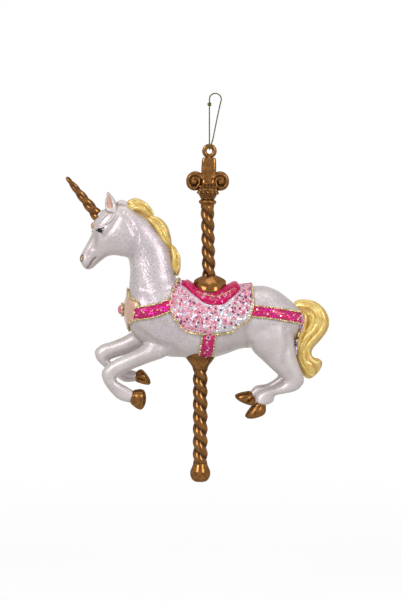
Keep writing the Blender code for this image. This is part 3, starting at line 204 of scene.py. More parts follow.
# Sculpted grooves: points x, z, then width and depth
GROOVES = (
    (((-41.6, -31.4), (-39.2, -35.6), (-36.6, -42.2), (-37.4, -48.0), (-39.4, -52.4)), 1.3, 0.85),
    (((-56.8, -39.8), (-56.2, -44.0), (-57.0, -48.5)), 1.3, 0.4),
    (((-56.5, -52.9), (-58.4, -54.7), (-60.1, -56.8), (-61.1, -58.6)), 0.6, 0.5),
    (((-55.8, -37.3), (-54.0, -36.6), (-52.2, -37.6)), 0.8, 0.45),
    (((-37.9, -87.0), (-25.0, -95.3), (-18.7, -96.8), (-15.7, -99.6)), 1.6, 0.55),
    (((-33.0, -68.0), (-27.0, -76.0), (-22.5, -86.0)), 2.2, 0.35),
    (((17.6, -88.5), (19.4, -98.6)), 1.8, 0.6),
    (((37.5, -88.0), (38.6, -97.0), (36.0, -105.0)), 1.6, 0.35),
    (((-45.5, -33.5), (-48.5, -38.5), (-52.0, -42.5)), 1.4, 0.5),
    (((-57.0, -43.5), (-58.6, -48.0), (-60.4, -51.8)), 1.1, 0.45),
)
# Patches with fine glitter in the paint: x, z, radius
GLITTER_PATCHES = (
    (-29.0, -50.0, 12.0), (-33.0, -64.0, 11.0), (-24.0, -60.0, 10.0), (-36.0, -42.0, 9.0),
    (-28.0, -76.0, 9.0), (-20.0, -92.0, 9.0), (30.0, -76.0, 9.0),
)

# Lower outline of the saddle cloth and of the seat seen from the side, front to rear: x, z
BLANKET_EDGE = (
    (-19.2, -72.8), (-18.6, -80.5), (-15.7, -84.8), (-12.2, -88.3), (-8.0, -90.1), (-3.7, -90.5),
    (3.7, -90.5), (10.7, -89.4), (14.2, -86.6), (19.0, -83.8), (21.6, -77.0),
)
# Front and rear x of the cloth along the back, its height above the skin and that of its rim
BLANKET_TOP_X = (-15.7, 20.9)
BLANKET_TOP = 1.4
BLANKET_RIM = 0.5
SEAT_EDGE = (
    (-14.4, -67.6), (-12.0, -69.3), (-9.8, -71.2), (-6.7, -73.4), (-2.7, -76.2), (2.3, -77.1),
    (6.9, -76.7), (10.2, -74.4), (13.9, -71.6), (15.6, -69.6),
)
SEAT_TOP_X = (-14.8, 15.2)
# Raised front and rear of the seat: middle x, length, height
SEAT_RISES = ((-12.6, 3.5, 1.0), (15.2, 5.0, 1.6))
# Line of glitter on the seat: x, z
SEAT_LINE = ((-6.5, -69.6), (-2.2, -71.4), (3.5, -72.1), (7.8, -70.6), (12.4, -68.2))
# Side straps: middle line x, z from front to rear, then width
STRAPS = {
    "breast_strap": (((-36.9, -80.9), (-34.2, -80.4), (-27.0, -79.2), (-18.6, -76.2)), 6.0),
    "crupper_strap": (((21.2, -79.4), (30.0, -80.3), (37.0, -81.5), (42.4, -82.6), (45.0, -83.2)), 5.2),
}
# Girth strap: x of its middle at the top and below, width, z of its top, y where it stops under the belly
GIRTH_X = (-0.2, -1.9)
GIRTH_WIDTH = 6.4
GIRTH_TOP_Z = -91.2
GIRTH_END_Y = 6.6

# Middle of the thread from the eye round the loop and back to the eye: x, y, z
CORD_ROUTE = (
    (0.10, -0.25, 0.80), (0.25, -1.08, 1.25), (0.50, -1.60, 2.50), (1.10, -1.52, 3.90),
    (1.75, -1.20, 6.00), (2.55, -0.85, 10.00), (3.55, -0.55, 14.90), (4.50, -0.35, 19.50),
    (5.35, -0.15, 23.30), (5.88, -0.05, 25.50), (5.60, 0.00, 27.10), (4.55, 0.00, 28.25),
    (2.95, 0.00, 28.70), (1.35, 0.00, 28.25), (0.30, 0.00, 27.10), (0.02, 0.05, 25.50),
    (0.00, 0.15, 23.30), (0.00, 0.35, 19.50), (0.00, 0.60, 14.90), (0.00, 0.90, 10.00),
    (0.00, 1.25, 6.00), (0.00, 1.52, 3.90), (0.00, 1.60, 2.50), (0.00, 1.12, 1.25), (0.00, 0.35, 0.80),
)
KNOT_PLACE = (0.00, 0.15, 23.30)
# Windings of the knot: turns, first angle, radius, height, radius of the thread
KNOT_WINDINGS = ((3.2, 0.0, 0.66, 1.3, 0.33), (1.024, 1.0, 0.75, -1.2, 0.3))

# Turned profile: radius, z above the capital's base
CAPITAL_PROFILE = (
    (3.3, -0.8), (3.3, 0.0), (3.45, 1.3), (4.1, 1.75), (4.4, 2.45), (4.3, 3.05), (3.7, 3.6), (3.3, 4.0),
    (3.5, 5.0), (4.5, 6.7), (5.2, 7.9), (5.2, 8.9),
)
# Shaft of the finial: z, half length, half depth
FINIAL_SECTIONS = (
    (-3.3, 3.0, 1.2), (-4.3, 3.5, 1.6), (-9.0, 3.75, 1.9), (-12.0, 3.5, 1.95), (-14.6, 3.3, 2.0),
    (-17.0, 3.5, 2.7), (-19.3, 4.9, 4.3), (-20.2, 5.1, 4.7),
)
# Scrolls of the finial: middle x, z and the way they wind, then their height over their length
SCROLLS = ((-6.8, -15.6, -1), (6.1, -15.2, 1))
SCROLL_STRETCH = 1.12
# Band of a scroll: reach, half thickness and half width at its start and how much smaller each is at its end
SCROLL_BAND = ((3.95, 2.7), (1.25, 0.4), (2.5, 0.8))
SCROLL_START = math.radians(160)
SCROLL_WINDING = math.radians(560)
# Turned profile: radius, z above the pole's lower end
POLE_FOOT_PROFILE = (
    (0.6, -10.0), (2.4, -9.8), (3.8, -9.0), (4.8, -7.3), (5.1, -5.6), (4.9, -4.2), (4.25, -2.6),
    (3.7, -1.2), (3.5, 0.0), (3.4, 0.8),
)

# Twist of the poles: height of a full turn and depth between the strands
POLE_LEAD = 12.5
GROOVE_DEPTH = 0.9
UPPER_POLE_LEAN = math.radians(-1.3)
FINIAL_LEAN = math.radians(2.1)
LOWER_POLE_X = -4.6
LOWER_POLE_TOP = -109.3

# Carved strands of the mane: points x, z
MANE_STRANDS = {
    "mane_poll_lock": (
        ((-41.1, -28.2), (-37.2, -25.7), (-32.9, -26.1), (-29.6, -29.2), (-28.0, -32.0)),
        ((-40.4, -29.4), (-36.5, -28.4), (-32.4, -29.2), (-29.3, -32.2)),
    ),
    "mane_crest_lock": (
        ((-30.8, -33.2), (-27.4, -36.4), (-24.6, -40.6), (-22.4, -44.4), (-19.9, -46.8)),
        ((-29.4, -32.9), (-25.4, -34.6), (-22.4, -38.6), (-20.4, -44.4)),
    ),
    "mane_withers_lock": (
        ((-18.6, -48.0), (-17.4, -52.4), (-17.8, -56.8), (-16.9, -60.6)),
        ((-17.6, -48.8), (-15.6, -52.6), (-15.5, -57.2), (-16.3, -60.9)),
    ),
}
# Carved strands on the tail, points x, z, and inside it, points x, y, z, then radius
TAIL_STRANDS = (
    (((43.0, -76.2), (47.0, -75.3), (52.2, -76.6), (56.0, -80.7), (57.2, -85.7), (55.4, -90.1), (51.2, -94.6),
      (48.1, -98.5), (47.0, -102.9), (48.6, -107.6)), 1.35),
    (((45.2, -78.0), (49.4, -77.6), (52.9, -80.7), (53.9, -85.1), (51.8, -89.6), (48.1, -92.9),
      (45.4, -95.4)), 1.25),
    (((48.2, -81.0), (51.0, -81.8), (51.6, -84.8), (50.2, -88.0), (47.6, -90.4)), 1.15),
    (((49.4, -97.6), (49.4, -101.0), (50.9, -104.2), (53.4, -105.6), (55.4, -105.0)), 1.1),
    (((46.4, -95.6), (44.8, -100.6), (46.3, -106.2), (49.4, -110.6), (52.0, -112.2)), 1.2),
)
TAIL_INNER = (
    (((45.6, -1.0, -77.4), (47.6, -1.8, -82.0), (46.4, -2.4, -88.0), (44.6, -2.2, -93.5), (44.4, -1.8, -99.0),
      (46.0, -1.2, -105.0)), 2.0),
    (((45.6, 1.2, -77.8), (47.0, 2.0, -83.0), (45.8, 2.4, -89.0), (44.2, 2.2, -95.0), (44.6, 1.6, -100.0),
      (46.4, 1.2, -104.5)), 1.9),
)
# Crystals in the crease between rump and tail, each side: points x, y outwards, z, then material indices
TAIL_ROOT_LINES = (
    (((45.9, 4.9, -81.6), (45.6, 4.9, -85.0), (45.1, 4.9, -88.2)), (1, 1, 3, 0)),
    (((46.8, 4.3, -83.0), (46.6, 4.4, -86.4), (45.8, 4.6, -89.4)), (1, 3, 3, 0)),
    (((44.9, 4.9, -88.8), (44.2, 5.2, -91.4), (43.5, 5.4, -94.0)), (2, 0)),
    (((43.4, 5.4, -94.4), (43.0, 5.6, -97.6), (43.1, 5.4, -100.8)), (1, 1, 4)),
)
# Forelock strands of each side, y outwards, and the tuft on the crest: points x, y, z, then radius
FORELOCK = (
    (((-53.4, 1.2, -27.9), (-54.9, 1.9, -30.4), (-56.0, 2.2, -32.8), (-56.6, 2.4, -34.8)), 0.85),
    (((-49.4, 2.4, -28.4), (-51.6, 4.2, -31.2), (-53.4, 4.5, -34.0), (-54.8, 4.2, -36.2)), 1.15),
    (((-47.2, 4.2, -29.8), (-48.2, 5.6, -33.2), (-50.2, 5.8, -35.4), (-51.8, 5.6, -36.6)), 1.2),
)
CREST_TUFT = (
    (((-46.4, -0.6, -27.6), (-44.4, -1.4, -25.8), (-42.2, -1.0, -26.4), (-40.8, -0.4, -28.2)), 1.5),
    (((-47.0, 1.0, -27.6), (-45.0, 1.6, -26.2), (-43.2, 1.2, -26.4), (-41.6, 0.6, -28.0)), 1.4),
)

# Strokes painted on each side of the head: points x, z, then radius and offset
EYE_STROKES = (
    (((-56.3, -39.7), (-54.9, -38.8), (-53.4, -38.5), (-52.2, -38.0)), 0.46, 0.25),
    (((-54.6, -40.3), (-53.7, -40.5), (-52.9, -41.1)), 0.3, 0.2),
    (((-53.6, -39.6), (-52.9, -39.6), (-52.2, -39.9)), 0.24, 0.2),
)
LIP_STROKE = (((-56.2, -52.9), (-57.4, -53.4), (-58.5, -54.7), (-59.5, -56.6), (-61.1, -58.4)), 0.38, 0.0)
# Closed eyelid: middle x, z, half length, half height, then the reach and rise of its rings
EYELID = (-54.35, -39.75, 1.35, 0.85)
EYELID_RINGS = ((1.0, -0.1), (0.9, 0.18), (0.6, 0.36), (0.2, 0.44))
# Painted nostril: x of the upright axis, middle angle, half angle, middle z, half height
NOSTRIL = (-61.6, 0.84, 0.34, -53.4, 1.6)
# Hollow of the nostril: middle x, z, half length, half height, depth
NOSTRIL_HOLLOW = (-63.7, -53.1, 0.8, 1.6, 0.5)

# Small shapes as rings of radius share and height share
SEQUIN = ((0.55, -0.05), (1.0, 0.0), (0.97, 0.14), (0.62, 0.24), (0.34, 0.10), (0.30, -0.02))
DOME = ((0.9, -0.1), (1.0, 0.25), (0.82, 0.65), (0.45, 0.92), (0.12, 1.0))
PLATELET = ((1.0, -0.05), (1.0, 0.08), (0.25, 0.12))
BEZEL_BEAD = ((0.4, -0.9), (0.95, -0.4), (1.0, 0.1), (0.7, 0.72), (0.15, 0.98))
CRYSTAL_FACES = ((0, 1, 4), (1, 2, 4), (2, 3, 4), (3, 0, 4), (1, 0, 5), (2, 1, 5), (3, 2, 5), (0, 3, 5))
DROP_ANGLES = (0.3, 1.0, 1.6, 2.2, 2.85)
# Spacings in a line of glitter: its core's rings, its drops and its crystals
CORE_STEP, DROP_STEP, CRYSTAL_STEP = 0.5, 0.95, 0.34
# Sequins at the top of the girth strap: x, z
GIRTH_SEQUINS = ((-2.1, -89.4), (0.3, -90.5), (-0.6, -92.0))

# Gems on the skin: name, x, z, the way it faces, rise, radius and height of dish and stone, beads of the dish
GEMS = (
    ("breast_gem", (-90.0, -79.1), (-1.0, 0, 0), 1.0, (3.5, 1.3), (2.7, 2.6), 16),
    ("forehead_gem", (-57.7, -37.0), (-0.93, 0, 0.36), -0.5, (2.1, 0.8), (1.7, 1.4), 11),
)
# Golden drop below the forehead's gem: x, z, the way it faces, rise
BROW_DROP = ((-58.2, -40.0), (-0.96, 0, 0.28), -0.25)
# How far the rims of straps and plate are sunk in the skin
SKIRT = -0.4
# Plate on the chest: x of the axis that it bends round, middle z and half height
PLATE = (-34.7, -79.0, 10.3)
# Between these heights the straps cover the plate's rim
PLATE_STRAP_Z = (-83.2, -77.6)

# Flange on the seat: radius, depth of its rim below the pole's foot, and how much lower its sides hang
FLANGE_RADIUS = 8.1
FLANGE_DROP = 3.0
FLANGE_DRAPE = 4.6
# Inner radius of its dome as a share of that radius
FLANGE_INNER = 0.3
BELLY_CUP_PROFILE = ((3.75, -0.1), (3.85, 1.0), (4.7, 2.6), (6.1, 4.4), (7.2, 6.0), (7.9, 7.4), (7.9, 9.5))
CAPITAL_BASE = -27.9
# Rows of beads on the capital's bell: z, count, radius
CAPITAL_BEADS = ((-20.8, 12, 0.8), (-22.0, 10, 0.65), (-23.1, 8, 0.5))
# Beads below the scrolls: x, z, radius, first those in the middle, then those of each side
FINIAL_ROW = tuple((1.15 * k - 1.72, -16.4, 0.7) for k in range(4))
FINIAL_SIDE_BEADS = (
    (3.8, -17.9, 0.8), (2.4, -17.9, 0.8), (0.9, -19.2, 0.9), (0.75, -17.7, 0.75), (3.9, -19.4, 0.75),
    (2.4, -19.5, 0.75),
)
# Depth of the finial at the beads: heights, then depths
BEAD_DEPTHS = ((-19.3, -17.0, -15.0), (4.6, 3.35, 2.6))
BEAD_ANGLES = np.linspace(0.15, 3.0, 9)
# Ring of the eye: radius, then half thickness of its wire in the ring's plane and along Y
EYE_RING_RADIUS = 2.5
EYE_WIRE_RADIUS = 1.15
EYE_WIRE_DEPTH = 1.0
EYE_PEG_PROFILE = ((1.25, -5.0), (1.3, -4.1), (1.05, -3.6), (1.0, -3.0))
UPPER_POLE_TOP = -28.2
UPPER_POLE_LENGTH = 34.0
LOWER_POLE_LENGTH = 46.0
HORN_LENGTH = 24.5
HORN_TIP_RADIUS = 0.7
HORN_FOOT_RADIUS = 3.1
# Grooves of the horn: turns, share of a turn at which they start, depth as a share of the radius
HORN_TURNS = 2.1
HORN_FIRST_TURN = -0.07
HORN_GROOVE = 0.22
HORN_FOOT = (-56.0, 0.0, -32.05)
HORN_LEAN = math.atan2(-15.3, 19.1)
# Ears: z of the foot, height, y of the middle, direction and half width of the cup
EAR = (-30.4, 10.0, 3.3, math.radians(104), math.radians(33))

# Plies of the thread: distance from its middle, radius, length of a turn
PLY_OFFSET = 0.12
PLY_RADIUS = 0.24
PLY_PITCH = 1.7


# Materials


def node(tree, kind, inputs=None, **settings):
    made = tree.nodes.new("ShaderNode" + kind)
    for key, value in settings.items():
        setattr(made, key, value)
    for key, value in (inputs or {}).items():
        if isinstance(value, bpy.types.NodeSocket):
            tree.links.new(value, made.inputs[key])
        else:
            made.inputs[key].default_value = value
    return made


def mixed(tree, factor, first, second):
    """Colour mix of two sockets or colours."""
    mix = node(tree, "Mix", data_type="RGBA")
    for index, value in ((0, factor), (6, first), (7, second)):
        if isinstance(value, bpy.types.NodeSocket):
            tree.links.new(value, mix.inputs[index])
        elif index:
            mix.inputs[index].default_value = (*value, 1.0)
        else:
            mix.inputs[index].default_value = value
    return mix.outputs[2]


def maths(tree, operation, first, second=0.0, clamp=False):
    return node(tree, "Math", {0: first, 1: second}, operation=operation, use_clamp=clamp).outputs[0]


def vector_maths(tree, operation, inputs):
    return node(tree, "VectorMath", inputs, operation=operation).outputs[0]


def ranged(tree, value, low, high, start=0.0, end=1.0):
    """Maps low to high onto start to end."""
    return node(tree, "MapRange", {0: value, 1: low, 2: high, 3: start, 4: end}).outputs[0]


def attribute(tree, name):
    return node(tree, "Attribute", attribute_name=name).outputs["Fac"]


def glittered(tree, where, colour, rough, normal, glitter):
    """Flakes in random cells of a paint: the new colour, roughness and normal, and the flakes' shine."""
    cell, share, flake, area, sway, shine = glitter
    pattern = {"Vector": where, "Scale": 1.0 / cell, "Randomness": 1.0}
    cells = node(tree, "TexVoronoi", pattern).outputs["Color"]
    parts = node(tree, "SeparateColor", {0: cells})
    limit = maths(tree, "MULTIPLY", attribute(tree, area), share) if area else share
    on = maths(tree, "LESS_THAN", parts.outputs[0], limit)
    tilt = vector_maths(tree, "SUBTRACT", {0: cells, 1: (0.5, 0.5, 0.5)})
    tilt = vector_maths(tree, "SCALE", {0: tilt, "Scale": maths(tree, "MULTIPLY", on, sway)})
    varied = {
        "Hue": ranged(tree, parts.outputs[1], 0.0, 1.0, 0.42, 0.58),
        "Value": ranged(tree, parts.outputs[2], 0.0, 1.0, 0.55, 1.3),
        "Color": (*flake, 1.0),
    }
    colour = mixed(tree, on, colour, node(tree, "HueSaturation", varied).outputs[0])
    rough = node(tree, "Mix", {0: on, 2: rough, 3: 0.24}).outputs[0]
    normal = vector_maths(tree, "NORMALIZE", {0: vector_maths(tree, "ADD", {0: normal, 1: tilt})})
    return colour, rough, normal, maths(tree, "MULTIPLY", on, shine)


def paint(name, light, dark, metallic, roughness, coat, mottle, grain, bump, painted_shade=None, glitter=None,
          film=0.0, subsurface=0.0, specular=0.5, tint=None):
    """Paint over a casting: slow colour change, fine bump, and if asked painted shade, glitter and film.

    mottle and grain are noise scales per millimetre. The painted shade colour goes where the point attribute
    for painted shade asks, unevenly. glitter is (cell mm, share, colour, attribute or None, tilt, shine).
    """
    made = bpy.data.materials.new(name)
    made.use_nodes = True
    tree = made.node_tree
    shader = tree.nodes["Principled BSDF"]
    settings = {
        "Metallic": metallic,
        "Coat Weight": coat,
        "Coat Roughness": 0.08,
        "Specular IOR Level": specular,
        "Subsurface Weight": subsurface,
        "Subsurface Radius": (0.002, 0.0015, 0.0012),
    }
    if tint:
        settings["Specular Tint"] = (*tint, 1.0)
    if film:
        settings.update({"Thin Film Thickness": film, "Thin Film IOR": 1.6})
    for key, value in settings.items():
        shader.inputs[key].default_value = value
    where = vector_maths(tree, "SCALE", {0: node(tree, "TexCoord").outputs["Object"], "Scale": 1000.0})
    slow = {"Vector": where, "Scale": mottle, "Detail": 4.0, "Roughness": 0.6}
    spread = ranged(tree, node(tree, "TexNoise", slow).outputs[0], 0.35, 0.65)
    colour = mixed(tree, spread, dark, light)
    fine = node(tree, "TexNoise", {"Vector": where, "Scale": grain, "Detail": 3.0}).outputs[0]
    rough = ranged(tree, fine, 0.3, 0.7, roughness * 0.8, roughness * 1.25)
    if painted_shade:
        # Painted shade: the shade colour is mixed in where the point attribute asks, more in some places than
        # others
        uneven_shade = ranged(tree, fine, 0.2, 0.8, 0.75, 1.15)
        colour = mixed(tree, maths(tree, "MULTIPLY", attribute(tree, "painted_shade"), uneven_shade, True), colour, painted_shade)
    normal = node(tree, "Bump", {"Strength": bump, "Distance": 0.0002, "Height": fine}).outputs[0]
    if glitter:
        colour, rough, normal, shine = glittered(tree, where, colour, rough, normal, glitter)
        tree.links.new(maths(tree, "MAXIMUM", shine, metallic), shader.inputs["Metallic"])
    for key, value in (("Base Color", colour), ("Roughness", rough), ("Normal", normal)):
        tree.links.new(value, shader.inputs[key])
    return made


# Each paint: name, light colour, dark colour, metallic, roughness, coat, mottle, grain, bump
# The shade colour given to a paint is painted into its grooves and hollows, where shade falls
PEARL = paint("pearl_paint", (0.692, 0.644, 0.624), (0.585, 0.538, 0.528), 0.2, 0.38, 0.22, 0.12, 2.0, 0.03,
              painted_shade=(0.34, 0.28, 0.28), film=330.0,
              glitter=(0.22, 0.4, (0.54, 0.47, 0.54), "glitter", 0.4, 0.4))
COPPER = paint("copper_paint", (0.262, 0.119, 0.030), (0.150, 0.058, 0.012), 0.85, 0.18, 0.15, 0.5, 2.0, 0.01,
               painted_shade=(0.030, 0.010, 0.003), tint=(0.45, 0.40, 0.35))
HAIR = paint("gold_hair_paint", (0.91, 0.71, 0.23), (0.77, 0.49, 0.08), 0.15, 0.2, 0.45, 0.3, 2.0, 0.03,
             painted_shade=(0.42, 0.17, 0.03))
SEAT = paint("seat_pink", (0.68, 0.003, 0.110), (0.52, 0.002, 0.075), 0.1, 0.3, 0.0, 0.5, 3.0, 0.03,
             glitter=(0.3, 0.06, (0.95, 0.25, 0.55), None, 0.8, 0.6), specular=0.18)
STRAP = paint("strap_pink", (0.56, 0.005, 0.12), (0.42, 0.004, 0.085), 0.2, 0.35, 0.2, 0.6, 3.0, 0.2,
              glitter=(0.34, 0.4, (0.66, 0.02, 0.21), None, 1.2, 0.8), specular=0.25)
CLOTH = paint("blanket_pearl", (0.68, 0.63, 0.64), (0.47, 0.41, 0.46), 0.15, 0.35, 0.3, 0.6, 3.0, 0.1,
              glitter=(0.3, 0.3, (0.80, 0.68, 0.78), None, 0.9, 0.6), film=400.0)
PEACH = paint("peach_paint", (0.74, 0.47, 0.34), (0.65, 0.39, 0.28), 0.15, 0.28, 0.4, 0.4, 3.0, 0.08)
TRIM = paint("gold_glitter", (0.70, 0.55, 0.24), (0.11, 0.075, 0.025), 0.6, 0.3, 0.1, 0.9, 4.0, 0.3,
             glitter=(0.3, 0.5, (0.82, 0.67, 0.36), None, 1.3, 0.9))
GEM = paint("pink_gem", (0.85, 0.22, 0.40), (0.74, 0.08, 0.26), 0.0, 0.06, 1.0, 0.3, 1.0, 0.02,
            subsurface=0.2)
THREAD = paint("green_cord", (0.22, 0.18, 0.045), (0.06, 0.06, 0.015), 0.2, 0.6, 0.0, 1.0, 8.0, 0.5,
               painted_shade=(0.04, 0.03, 0.01))
RING = paint("sequin_ring", (0.80, 0.15, 0.25), (0.89, 0.43, 0.51), 0.1, 0.25, 0.3, 0.55, 3.0, 0.03,
             film=400.0)
FLAKE = paint("sequin_flake", (0.54, 0.38, 0.64), (0.80, 0.70, 0.78), 0.5, 0.2, 0.3, 0.5, 3.0, 0.03,
              film=350.0)
BEAD = paint("dark_bead", (0.10, 0.015, 0.12), (0.035, 0.02, 0.14), 0.3, 0.2, 0.2, 0.5, 3.0, 0.02)
SEED = paint("pink_bead", (0.86, 0.10, 0.28), (0.70, 0.05, 0.24), 0.1, 0.15, 0.6, 0.5, 3.0, 0.02)
BLACK = paint("black_enamel", (0.010, 0.009, 0.008), (0.005, 0.005, 0.005), 0.0, 0.4, 0.0, 1.0, 4.0, 0.03,
              specular=0.3)
BROWN = paint("brown_enamel", (0.17, 0.08, 0.035), (0.10, 0.04, 0.015), 0.5, 0.35, 0.2, 1.0, 4.0, 0.05)
GOLD_FLAKE = paint("gold_flake", (0.86, 0.72, 0.42), (0.72, 0.50, 0.34), 0.7, 0.22, 0.2, 1.0, 4.0, 0.03)


# Mesh making


def around(count):
    """Angles of count places evenly spread round a circle."""
    return 2 * np.pi * np.arange(count) / count


def unit(vector):
    return np.asarray(vector, float) / np.linalg.norm(vector)


def bell(value, middle, width):
    """1 at the middle, fading out over width on both sides."""
    return np.exp(-(((value - middle) / width) ** 2))


def rounded(rim, rise, inward, bend):
    """Height of a patch with a rounded rim at a distance inward from that rim."""
    return rim + rise * (1 - math.exp(-inward / bend))


def mirrored(line, side):
    """A line given with y outwards, put on the near side, -1, or the far side, 1."""
    return [(x, side * y, z) for x, y, z in line]


def smooth_table(rows, steps):
    """Catmull-Rom run through the rows, steps between each two."""
    rows = np.asarray(rows, float)
    last = len(rows) - 1
    made = []
    for i in range(last):
        a, b, c, d = (rows[max(i - 1, 0)], rows[i], rows[i + 1], rows[min(i + 2, last)])
        for k in range(steps):
            t = k / steps
            made.append(0.5 * (2 * b + (c - a) * t + (2 * a - 5 * b + 4 * c - d) * t * t
                               + (3 * b - a - 3 * c + d) * t**3))
    made.append(rows[last])
    return np.array(made)


def grid_faces(rows, columns, closed=True):
    """Quads of a grid of points; closed joins the last column to the first."""
    faces = []
    for i in range(rows - 1):
        for j in range(columns if closed else columns - 1):
            k = (j + 1) % columns
            a = i * columns
            faces.append((a + j, a + k, a + columns + k, a + columns + j))
    return faces


def tube_mesh(rings):
    """Points and faces of a tube through rings, an array (rows, columns, 3), with both ends closed."""
    rings = np.asarray(rings, float)
    rows, columns = rings.shape[:2]
    faces = grid_faces(rows, columns)
    faces.append(tuple(reversed(range(columns))))
    faces.append(tuple((rows - 1) * columns + j for j in range(columns)))
    return rings.reshape(-1, 3), faces


def section_ring(section, turn, swell):
    """A ring through a section's edges: first edge x, z, second edge x, z, centre y, half width."""
    x1, z1, x2, z2, y, half = section
    across = np.cos(turn) * swell
    return np.stack([(x1 + x2) / 2 + (x2 - x1) / 2 * across, y + half * np.sin(turn) * swell,
                     (z1 + z2) / 2 + (z2 - z1) / 2 * across], axis=1)


def section_rings(sections, sides, steps, ridge=None):
    """Rings through edge sections, and how deep each point lies in a groove.

    ridge(turn, share) gives a relative swelling, as an array like turn.
    """
    run = smooth_table(sections, steps)
    turn = around(sides)
    rings, depth = [], []
    for i, section in enumerate(run):
        swell = ridge(turn, i / (len(run) - 1)) if ridge else np.ones(sides)
        rings.append(section_ring(section, turn, swell))
        depth.append(np.clip((1 - swell) * 9, 0, 1))
    return np.array(rings), np.array(depth)


def piece(name, points, faces, material, replaces=(), body="ornament", attributes=None, angle=50,
          materials=(), which=None):
    """Adds a mesh, given in millimetres, that rides on a body."""
    mesh = bpy.data.meshes.new(name)
    mesh.from_pydata(((np.asarray(points, float) + PIVOT) * MM).tolist(), [], faces)
    for key, values in (attributes or {}).items():
        layer = mesh.attributes.new(key, "FLOAT", "POINT")
        layer.data.foreach_set("value", np.asarray(values, np.float32).ravel())
    for each in (material, *materials):
        mesh.materials.append(each)
    if which is not None:
        mesh.polygons.foreach_set("material_index", np.asarray(which, np.int32))
    mesh.shade_smooth()
    mesh.set_sharp_from_angle(angle=math.radians(angle))
    mesh.update()
    made = bpy.data.objects.new(name, mesh)
    bpy.context.scene.collection.objects.link(made)
    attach(made, body)
    if replaces:
        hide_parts(*replaces)
    return made


def copper_piece(name, node_name, points, faces, painted_shade, angle=60):
    """A copper piece in place of a node, with painted shade darkest where the shade mask is 1."""
    piece(name, points, faces, COPPER, [node_name], attributes={"painted_shade": painted_shade}, angle=angle)


class Batch:
    """Many small shapes gathered into one mesh."""

    def __init__(self):
        self.points, self.faces, self.which, self.count = [], [], [], 0

    def add(self, points, faces, index=0):
        self.points.append(np.asarray(points, float))
        self.faces.extend(tuple(self.count + v for v in face) for face in faces)
        self.which.extend([index] * len(faces))
        self.count += len(points)

    def put(self, name, material, replaces=(), body="ornament", materials=(), angle=50, attributes=None,
            slot=None):
        return piece(name, np.concatenate(self.points), self.faces, material, replaces, body, attributes,
                     angle, materials, self.which)


def remeshed(name, parts, voxel, rounds):
    """One skin round several closed meshes: its points, faces and edges, in millimetres."""
    batch = Batch()
    for points, faces in parts:
        batch.add(points, faces)
    mesh = bpy.data.meshes.new(name)
    mesh.from_pydata(np.concatenate(batch.points).tolist(), [], batch.faces)
    holder = bpy.data.objects.new(name, mesh)
    bpy.context.scene.collection.objects.link(holder)
    step = holder.modifiers.new("skin", "REMESH")
    step.mode = "VOXEL"
    step.voxel_size = voxel
    graph = bpy.context.evaluated_depsgraph_get()
    skin = bpy.data.meshes.new_from_object(holder.evaluated_get(graph), depsgraph=graph)
    bpy.data.objects.remove(holder)
    points = np.empty(len(skin.vertices) * 3)
    skin.vertices.foreach_get("co", points)
    edges = np.empty(len(skin.edges) * 2, int)
    skin.edges.foreach_get("vertices", edges)
    edges = edges.reshape(-1, 2)
    return relaxed(points.reshape(-1, 3), edges, rounds), [tuple(p.vertices) for p in skin.polygons], edges


def relaxed(points, edges, rounds):
    """Smooths a skin: a pull to the neighbours, a push back that keeps its size, and a light last pull."""
    ends = np.concatenate([edges[:, 0], edges[:, 1]])
    others = np.concatenate([edges[:, 1], edges[:, 0]])
    count = np.maximum(np.bincount(ends, minlength=len(points)), 1)
    for _ in range(rounds):
        for pull in (0.5, -0.52, 0.12):
            mean = [np.bincount(ends, points[others, k], len(points)) / count for k in range(3)]
            points = points + (np.stack(mean, axis=1) - points) * pull
    return points


def normals_of(points, faces):
    """Unit normals at the points of triangles and quads."""
    quads = np.array([f if len(f) == 4 else (*f, f[-1]) for f in faces])
    p = points[quads]
    flat = np.cross(p[:, 2] - p[:, 0], p[:, 3] - p[:, 1])
    three = quads[:, 2] == quads[:, 3]
    flat[three] = np.cross(p[three, 1] - p[three, 0], p[three, 2] - p[three, 0])
    total = np.zeros_like(points)
    for k in range(4):
        np.add.at(total, quads[:, k], flat)
    return total / np.maximum(np.linalg.norm(total, axis=1, keepdims=True), 1e-12)


class Surface:
    """Places on a skin with their normals, in millimetres."""

    def __init__(self, points, faces):
        self.faces = faces
        self.normals = normals_of(points, faces)
        self.tree = BVHTree.FromPolygons([Vector(p) for p in points], faces)

    def raised(self, place, index, offset):
        """A place on a face, moved out by offset, and its normal."""
        normal = unit(self.normals[list(self.faces[index])].mean(axis=0))
        return np.array(place) + normal * offset, normal

    def hit(self, start, direction, offset=0.0):
        place, _, index, _ = self.tree.ray_cast(Vector(start), Vector(direction).normalized())
        if place is None:
            raise ValueError(f"no surface from {tuple(start)} along {tuple(direction)}")
        return self.raised(place, index, offset)

    def from_side(self, x, z, side, offset=0.0):
        """What is seen at x, z from the near side, -1, or the far side, 1."""
        return self.hit((x, side * FAR, z), (0, -side, 0), offset)

    def nearest(self, place, offset):
        near, _, index, _ = self.tree.find_nearest(Vector(place))
        return self.raised(near, index, offset)

    def beside(self, x, z, side):
        """The surface's point seen from a side, or the nearest one where that view misses it."""
        place = self.tree.ray_cast(Vector((x, side * FAR, z)), Vector((0, -side, 0)))[0]
        if place is None:
            place = self.tree.find_nearest(Vector((x, side * 1.5, z)))[0]
        return np.array(place)


def distance_to_run(x, z, run):
    """Distance of points to a line through run."""
    best = np.full(len(x), 1e9)
    for (x1, z1), (x2, z2) in zip(run, run[1:]):
        along = np.array((x2 - x1, z2 - z1))
        t = np.clip(((x - x1) * along[0] + (z - z1) * along[1]) / (along @ along), 0, 1)
        best = np.minimum(best, np.hypot(x - x1 - t * along[0], z - z1 - t * along[1]))
    return best


